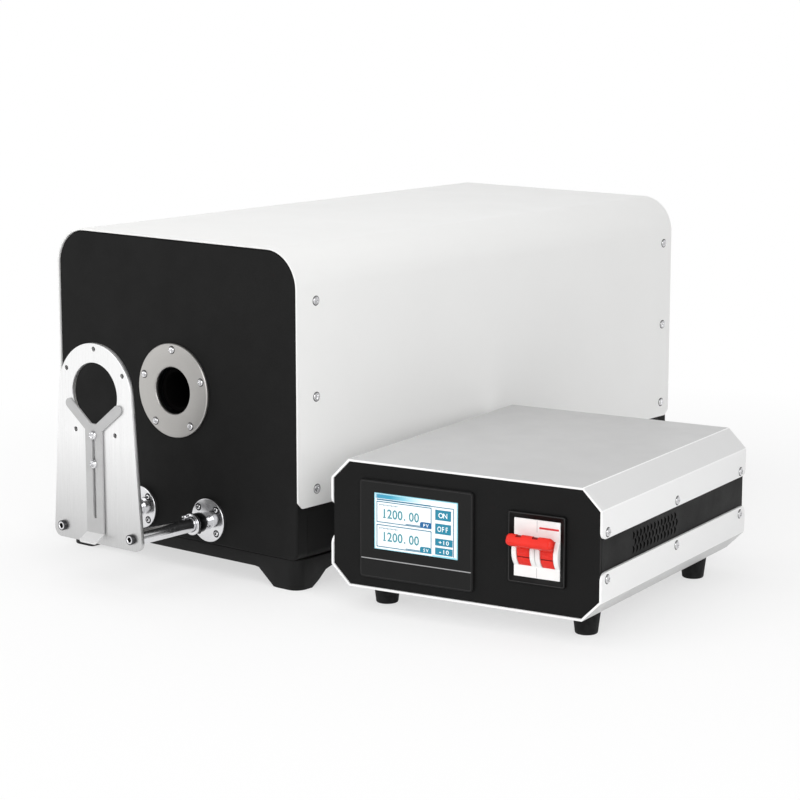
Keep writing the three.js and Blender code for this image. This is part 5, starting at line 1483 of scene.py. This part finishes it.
def make_barrels():
    """The two barrels that turn in the breaker: drums with a shallow and a deep groove along them,
    each of depth d exp(-(u / w)^2) at the angle u from its middle line."""
    red, pocket_groove_shade = toggle_plastics()
    t = np.arange(240) / 240 * 2 * math.pi
    shallow, deep = (
        np.exp(-((np.mod(t - math.radians(180 + a) + math.pi, 2 * math.pi) - math.pi) / GROOVE_WIDTH) ** 2)
        for a in GROOVE_ANGLES
    )
    radius = BARREL_RADIUS - GROOVE_DEPTHS[0] * shallow - GROOVE_DEPTHS[1] * deep
    # The deep groove takes the darker red: painted shade.
    grooves = (deep > 0.4).astype(int)
    half, edge = BARREL_WIDTH / 2, [(0, 0), (0.93, 0), (0.985, 0.25), (1, 0.8)]
    rows = [(share, inset - half) for share, inset in edge]
    rows += [(share, half - inset) for share, inset in reversed(edge)]
    for side, pole in zip(("left", "right"), POLES):
        barrel = Piece().grid(np.array([
            along_x(np.stack([HUB_Y + r * np.cos(t), HUB_Z + r * np.sin(t)], -1), pole + x)
            for r, x in ((share * radius, x) for share, x in rows)
        ]), slot=grooves)
        node = f"toggle_hub_{side}"
        barrel.made(f"barrel_{side}", on_unit, [red, pocket_groove_shade], "toggle", "toggle_red_plastic", [node])


# Rear connectors and inner parts

def make_socket(name, place, x, z, face, node):
    """Panel connector seen from behind: square flange with four screws, turned and threaded shell
    r = R - d + d sin(2 pi h / pitch), black insert and three pins; its face points to +y."""
    def turned_round(points):
        """Half a turn about the upright, then out to the casing's rear face."""
        return place(points * [-1, -1, 1] + [0, face, 0])

    piece = Piece()
    alloy = finished("socket_alloy", lambda n: brushed(n, srgb("B4B6B9"), (300, 1500, 300), 0.38, 0.1))
    insert = finished("connector_insert", lambda n: moulded(n, srgb("141415"), 0.5))
    pins = finished("connector_pins", lambda n: polished(n, srgb("D8B871"), 0.2))
    flange = rounded_box(x, z, SOCKET_FLANGE, SOCKET_FLANGE, 2, 5)
    outer, inner = rim(-SOCKET_PLATE, -GAP, 0.5, 0, 3), rim(-SOCKET_PLATE, -GAP, 0, 0, 2)
    piece.plate(flange, outer, [circle(x, z, SOCKET_RADIUS - 1, 64)], inner)
    thread = [
        (SOCKET_RADIUS - THREAD_DEPTH + THREAD_DEPTH * math.sin(2 * math.pi * h / THREAD_PITCH), h)
        for h in np.linspace(-11.4, -3.4, 49)
    ]
    lip, floor = SOCKET_RADIUS - 2, -9
    line = [(lip, floor), (lip, 0.3 - SOCKET_RISE), (lip + 0.3, -SOCKET_RISE), (lip + 1.4, -SOCKET_RISE)]
    line += thread + [(SOCKET_RADIUS, -SOCKET_PLATE), (SOCKET_RADIUS, SOCKET_BEHIND), (0, SOCKET_BEHIND)]
    piece.turned(line, (x, z), steps=64)
    piece.turned([(lip, floor), (0, floor)], (x, z), steps=64, slot=1)
    pin = softened([(0, -11.4), (1.5, -11.4), (1.5, -8.5), (0, -8.5)], [0, 0.9, 0, 0])
    for angle in (0, 120, 240):
        piece.turned(pin, round_at(x, z, PIN_CIRCLE, angle), steps=20, slot=2)
    for sx in (-1, 1):
        for sz in (-1, 1):
            centre = np.array([x + sx * SOCKET_SCREWS, -SOCKET_PLATE, z + sz * SOCKET_SCREWS])
            piece.screw(centre, (0, -1, 0), 2.0, 1.2, turn=sx + 2 * sz)
    piece.made(name, turned_round, [alloy, insert, pins], "root", "connector_alloy", [node])


def dress(node, material):
    """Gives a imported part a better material."""
    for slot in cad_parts[node].material_slots:
        slot.material = material


INNER_FINISHES = (
    ("inner_galvanised_steel", lambda n: sheet_metal(n, srgb("BFC1C3")), (
        "inner_drum", "drum_cap_front", "drum_cap_rear", "drum_cradle_front", "drum_cradle_rear")),
    ("heater_fired_ceramic", lambda n: fired(n, srgb("DED3BE")), ("heater_core", "control_thermocouple")),
    ("insulation_fibre_board", lambda n: fibrous(n, srgb("ECE9E0")), (
        "insulation_upper", "insulation_lower")),
    ("unit_inner_sheet", lambda n: sheet_metal(n, srgb("BABCBF"), 0.45), (
        "unit_deck", "heat_sink", "power_supply")),
    ("unit_inner_plastic", lambda n: moulded(n, srgb("1C1C1E"), 0.5), (
        "screen_housing", "solid_state_relay", "terminal_strip")),
)


# Stage

def seen_rays(tree):
    """1 for camera, glossy and transmission rays, which see the white surroundings; 0 for others."""
    path = wired(tree, "ShaderNodeLightPath")
    seen = path.outputs["Is Camera Ray"]
    for name in ("Is Glossy Ray", "Is Transmission Ray"):
        seen = wired(
            tree, "ShaderNodeMath", {0: seen, 1: path.outputs[name]}, operation="MAXIMUM"
        ).outputs[0]
    return seen


def make_sky(scene):
    """World: bright round the horizon and dimmer overhead, for what it lights and for what is seen of
    it, which is plain white at the horizon whatever the light's strength."""
    world = bpy.data.worlds.new("studio")
    scene.world = world
    world.use_nodes = True
    tree = world.node_tree
    place = wired(tree, "ShaderNodeTexCoord").outputs["Generated"]
    height = wired(tree, "ShaderNodeSeparateXYZ", {0: place}).outputs["Z"]
    sky, white = scene.studio_light.sky, (1, 1, 1, 1)
    lights = tree.nodes["Background"]
    lights.inputs["Color"].default_value = white
    tree.links.new(faded(tree, height, 0.12, 0.75, sky, sky * 0.35), lights.inputs["Strength"])
    shown = wired(tree, "ShaderNodeBackground", {
        "Color": white, "Strength": faded(tree, height, 0.25, 0.8, 1.0, 0.3),
    })
    mix = wired(tree, "ShaderNodeMixShader", {0: seen_rays(tree), 1: lights.outputs[0], 2: shown.outputs[0]})
    tree.links.new(mix.outputs[0], tree.nodes["World Output"].inputs[0])


def make_floor(scene):
    """Pale floor whose white grows with the distance r from the set: what is seen of it is a mix of
    the lit floor, which carries the shadow, and plain white."""
    t = np.arange(64) / 64 * 2 * math.pi
    floor = Piece().grid(np.array([
        np.stack([r * np.cos(t), r * np.sin(t), np.full_like(t, -FLOOR_DROP)], -1) for r in FLOOR_RINGS
    ]))
    mesh = bpy.data.meshes.new("floor")
    mesh.from_pydata((np.concatenate(floor.points) * MM).tolist(), [], floor.faces)
    welded(mesh)
    mesh.update()
    if mesh.polygons[0].normal.z < 0:
        mesh.flip_normals()
    ground = bpy.data.objects.new("floor", mesh)
    scene.collection.objects.link(ground)
    material = bpy.data.materials.new("studio_floor")
    material.use_nodes = True
    tree = material.node_tree
    shader = tree.nodes["Principled BSDF"]
    shader.inputs["Base Color"].default_value = (0.96, 0.96, 0.96, 1)
    shader.inputs["Roughness"].default_value = 0.9
    shader.inputs["Specular IOR Level"].default_value = 0.1
    place = wired(tree, "ShaderNodeTexCoord").outputs["Object"]
    reach = wired(tree, "ShaderNodeVectorMath", {0: place}, operation="LENGTH").outputs["Value"]
    white = faded(tree, reach, 0.35, 1.1, 0.62, 1.0)
    share = wired(tree, "ShaderNodeMath", {0: white, 1: seen_rays(tree)}, operation="MULTIPLY")
    plain = wired(tree, "ShaderNodeEmission")
    mix = wired(tree, "ShaderNodeMixShader", {0: share.outputs[0], 1: shader.outputs[0], 2: plain.outputs[0]})
    tree.links.new(mix.outputs[0], tree.nodes["Material Output"].inputs["Surface"])
    mesh.materials.append(material)
    ground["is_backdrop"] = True


def make_lamps(scene):
    """Three large soft lamps: at the right, overhead and at the front left."""
    light = scene.studio_light
    for name, at, size, power, aim in (
        ("key_lamp", (2.3, -1.9, 1.5), 1.8, light.key, (0.1, 0.0, 0.15)),
        ("fill_lamp", (-0.6, -0.4, 2.6), 2.6, light.fill, (0, 0, 0.1)),
        ("front_lamp", (-0.9, -2.6, 1.0), 1.4, light.key * 0.35, (-0.1, 0, 0.2)),
    ):
        lamp = bpy.data.lights.new(name, "AREA")
        lamp.shape, lamp.size, lamp.energy = "SQUARE", size, power
        obj = bpy.data.objects.new(name, lamp)
        obj.location = at
        obj.rotation_euler = (Vector(aim) - Vector(at)).to_track_quat("-Z", "Y").to_euler()
        obj.visible_glossy = name != "fill_lamp"
        scene.collection.objects.link(obj)


def make_camera(scene):
    """Camera at the photograph's place, its angles those of the photograph."""
    lens = bpy.data.cameras.new("camera")
    lens.sensor_width, lens.lens = SENSOR_WIDTH, FOCAL_LENGTH
    lens.clip_end = 50
    camera = bpy.data.objects.new("camera", lens)
    camera.location = (FURNACE_ORIGIN + CAMERA_PLACE) * MM
    camera.rotation_euler = Euler((math.radians(90 - CAMERA_PITCH), 0, math.radians(CAMERA_TURN)))
    scene.collection.objects.link(camera)
    scene.camera = camera


# Operators: one for each piece or group of like pieces, and one for the stage

class FURNACE_OT_casing(bpy.types.Operator):
    """Make the white cover, the black end pans and the tray between them"""

    bl_idname = "furnace.casing"
    bl_label = "Casing"

    def execute(self, context):
        make_cover()
        rods = [(side * GUIDE_X, GUIDE_HEIGHT) for side in (-1, 1)]
        make_pan("front_pan", PANEL_SETBACK, 1, rods, BUSH_BODY, "front_panel")
        sockets = [(side * REAR_SOCKET_X, REAR_SOCKET_Z) for side in (-1, 1)]
        make_pan("rear_pan", CASE_LENGTH - PANEL_SETBACK, -1, sockets, SOCKET_RADIUS, "rear_panel")
        make_tray()
        return {"FINISHED"}


class FURNACE_OT_plinth(bpy.types.Operator):
    """Make the moulded plinth with its four feet"""

    bl_idname = "furnace.plinth"
    bl_label = "Plinth"

    def execute(self, context):
        make_plinth()
        return {"FINISHED"}


class FURNACE_OT_mouths(bpy.types.Operator):
    """Make both mouth flanges with their screws, and the ceramic tube"""

    bl_idname = "furnace.mouths"
    bl_label = "Mouths and tube"

    def execute(self, context):
        make_mouth("mouth_ring_front", PANEL_SETBACK, -1, "mouth_flange_front")
        make_mouth("mouth_ring_rear", CASE_LENGTH - PANEL_SETBACK, 1, "mouth_flange_rear")
        make_tube()
        return {"FINISHED"}


class FURNACE_OT_guides(bpy.types.Operator):
    """Make both guide bushings and their lock collars"""

    bl_idname = "furnace.guides"
    bl_label = "Guide bushings"

    def execute(self, context):
        for side, sign in (("left", -1), ("right", 1)):
            make_bushing(side, sign * GUIDE_X)
        return {"FINISHED"}


class FURNACE_OT_stand(bpy.types.Operator):
    """Make the sliding stand: rods, bolts and ring plate"""

    bl_idname = "furnace.stand"
    bl_label = "Stand"

    def execute(self, context):
        for side, sign in (("left", -1), ("right", 1)):
            make_rod(side, sign * GUIDE_X)
            make_bolt(side, sign * GUIDE_X)
        make_stand_plate()
        return {"FINISHED"}


class FURNACE_OT_rest(bpy.types.Operator):
    """Make the V bracket and its two screws"""

    bl_idname = "furnace.rest"
    bl_label = "Thermocouple rest"

    def execute(self, context):
        make_rest()
        return {"FINISHED"}


class FURNACE_OT_unit_casing(bpy.types.Operator):
    """Make the control unit's shells, side strips, screws and feet, and coat its panels"""

    bl_idname = "furnace.unit_casing"
    bl_label = "Control unit casing"

    def execute(self, context):
        make_shell(1, "shell_upper", "unit_top_paint", "unit_top_shell")
        make_shell(-1, "shell_lower", "unit_lower_paint", "unit_bottom_shell")
        for side, name in ((-1, "left"), (1, "right")):
            make_strip(side, name)
        make_unit_screws()
        half = UNIT_WIDTH / 2 - UNIT_FOOT_INSET_X
        for end, y in (("front", UNIT_FOOT_INSET_Y), ("rear", UNIT_DEPTH - UNIT_FOOT_INSET_Y)):
            make_unit_foot(end, "left", -half, y)
            make_unit_foot(end, "right", half, y)
        for node in ("unit_front_panel", "unit_rear_panel"):
            dress(node, unit_black())
        return {"FINISHED"}


class FURNACE_OT_screen(bpy.types.Operator):
    """Make the touch screen with its readings"""

    bl_idname = "furnace.screen"
    bl_label = "Touch screen"

    def execute(self, context):
        make_screen()
        return {"FINISHED"}


class FURNACE_OT_breaker(bpy.types.Operator):
    """Make the two-pole breaker, its frame and its toggle"""

    bl_idname = "furnace.breaker"
    bl_label = "Breaker"

    def execute(self, context):
        make_breaker()
        make_toggle()
        make_barrels()
        return {"FINISHED"}


class FURNACE_OT_sockets(bpy.types.Operator):
    """Make the rear connectors of furnace and control unit"""

    bl_idname = "furnace.sockets"
    bl_label = "Rear sockets"

    def execute(self, context):
        rear = CASE_LENGTH - PANEL_SETBACK
        x, z = REAR_SOCKET_X, REAR_SOCKET_Z
        make_socket("socket_heater", on_furnace, x, z, rear, "heater_power_socket")
        make_socket("socket_sensor", on_furnace, -x, z, rear, "sensor_socket")
        rear = UNIT_DEPTH - UNIT_PANEL_SETBACK
        for name, share in UNIT_SOCKETS:
            x, node = UNIT_WIDTH * share, f"unit_{name}_socket"
            make_socket(f"unit_plug_{name}", on_unit, x, UNIT_SOCKET_Z, rear, node)
        return {"FINISHED"}


class FURNACE_OT_inner_parts(bpy.types.Operator):
    """Give the parts inside both casings their materials"""

    bl_idname = "furnace.inner_parts"
    bl_label = "Inner parts"

    def execute(self, context):
        for name, make, nodes in INNER_FINISHES:
            material = finished(name, make)
            for node in nodes:
                dress(node, material)
        return {"FINISHED"}


class FURNACE_OT_stage(bpy.types.Operator):
    """Make the floor, the lamps and the camera"""

    bl_idname = "furnace.stage"
    bl_label = "Stage"

    def execute(self, context):
        for make in (make_sky, make_floor, make_lamps, make_camera):
            make(context.scene)
        context.scene.view_settings.view_transform = "Standard"
        return {"FINISHED"}


class FURNACE_PT_sidebar(bpy.types.Panel):
    """Lists the settings and the steps in the 3D view's sidebar"""

    bl_label = "Calibration furnace"
    bl_idname = "FURNACE_PT_sidebar"
    bl_space_type = "VIEW_3D"
    bl_region_type = "UI"
    bl_category = "Furnace"

    def draw(self, context):
        scene = context.scene
        for group in (scene.furnace_sizes, scene.unit_sizes, scene.finish_colours, scene.studio_light):
            box = self.layout.box()
            for key in group.bl_rna.properties.keys():
                if key not in ("rna_type", "name"):
                    box.prop(group, key)
        for step in STEPS:
            self.layout.operator(step.bl_idname)


STEPS = (
    FURNACE_OT_stage, FURNACE_OT_casing, FURNACE_OT_plinth, FURNACE_OT_mouths, FURNACE_OT_guides,
    FURNACE_OT_stand, FURNACE_OT_rest, FURNACE_OT_unit_casing, FURNACE_OT_screen,
    FURNACE_OT_breaker, FURNACE_OT_sockets, FURNACE_OT_inner_parts,
)
CLASSES = (FurnaceSizes, UnitSizes, FinishColours, StudioLight, *STEPS, FURNACE_PT_sidebar)
GROUPS = {
    "furnace_sizes": FurnaceSizes, "unit_sizes": UnitSizes, "finish_colours": FinishColours,
    "studio_light": StudioLight,
}


def register():
    """Registers the classes and hangs the groups of settings on the scene."""
    for kind in CLASSES:
        bpy.utils.register_class(kind)
    for key, kind in GROUPS.items():
        setattr(bpy.types.Scene, key, PointerProperty(type=kind))


def unregister():
    """Takes back what register did, in reverse."""
    for key in GROUPS:
        delattr(bpy.types.Scene, key)
    for kind in reversed(CLASSES):
        bpy.utils.unregister_class(kind)


def main():
    """Runs every step."""
    register()
    for step in STEPS:
        getattr(bpy.ops.furnace, step.bl_idname.split(".")[1])()
    boxes = [[list(corner) for corner in box] for box in (CAD_BOX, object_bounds())]


if __name__ == "__main__":
    main()
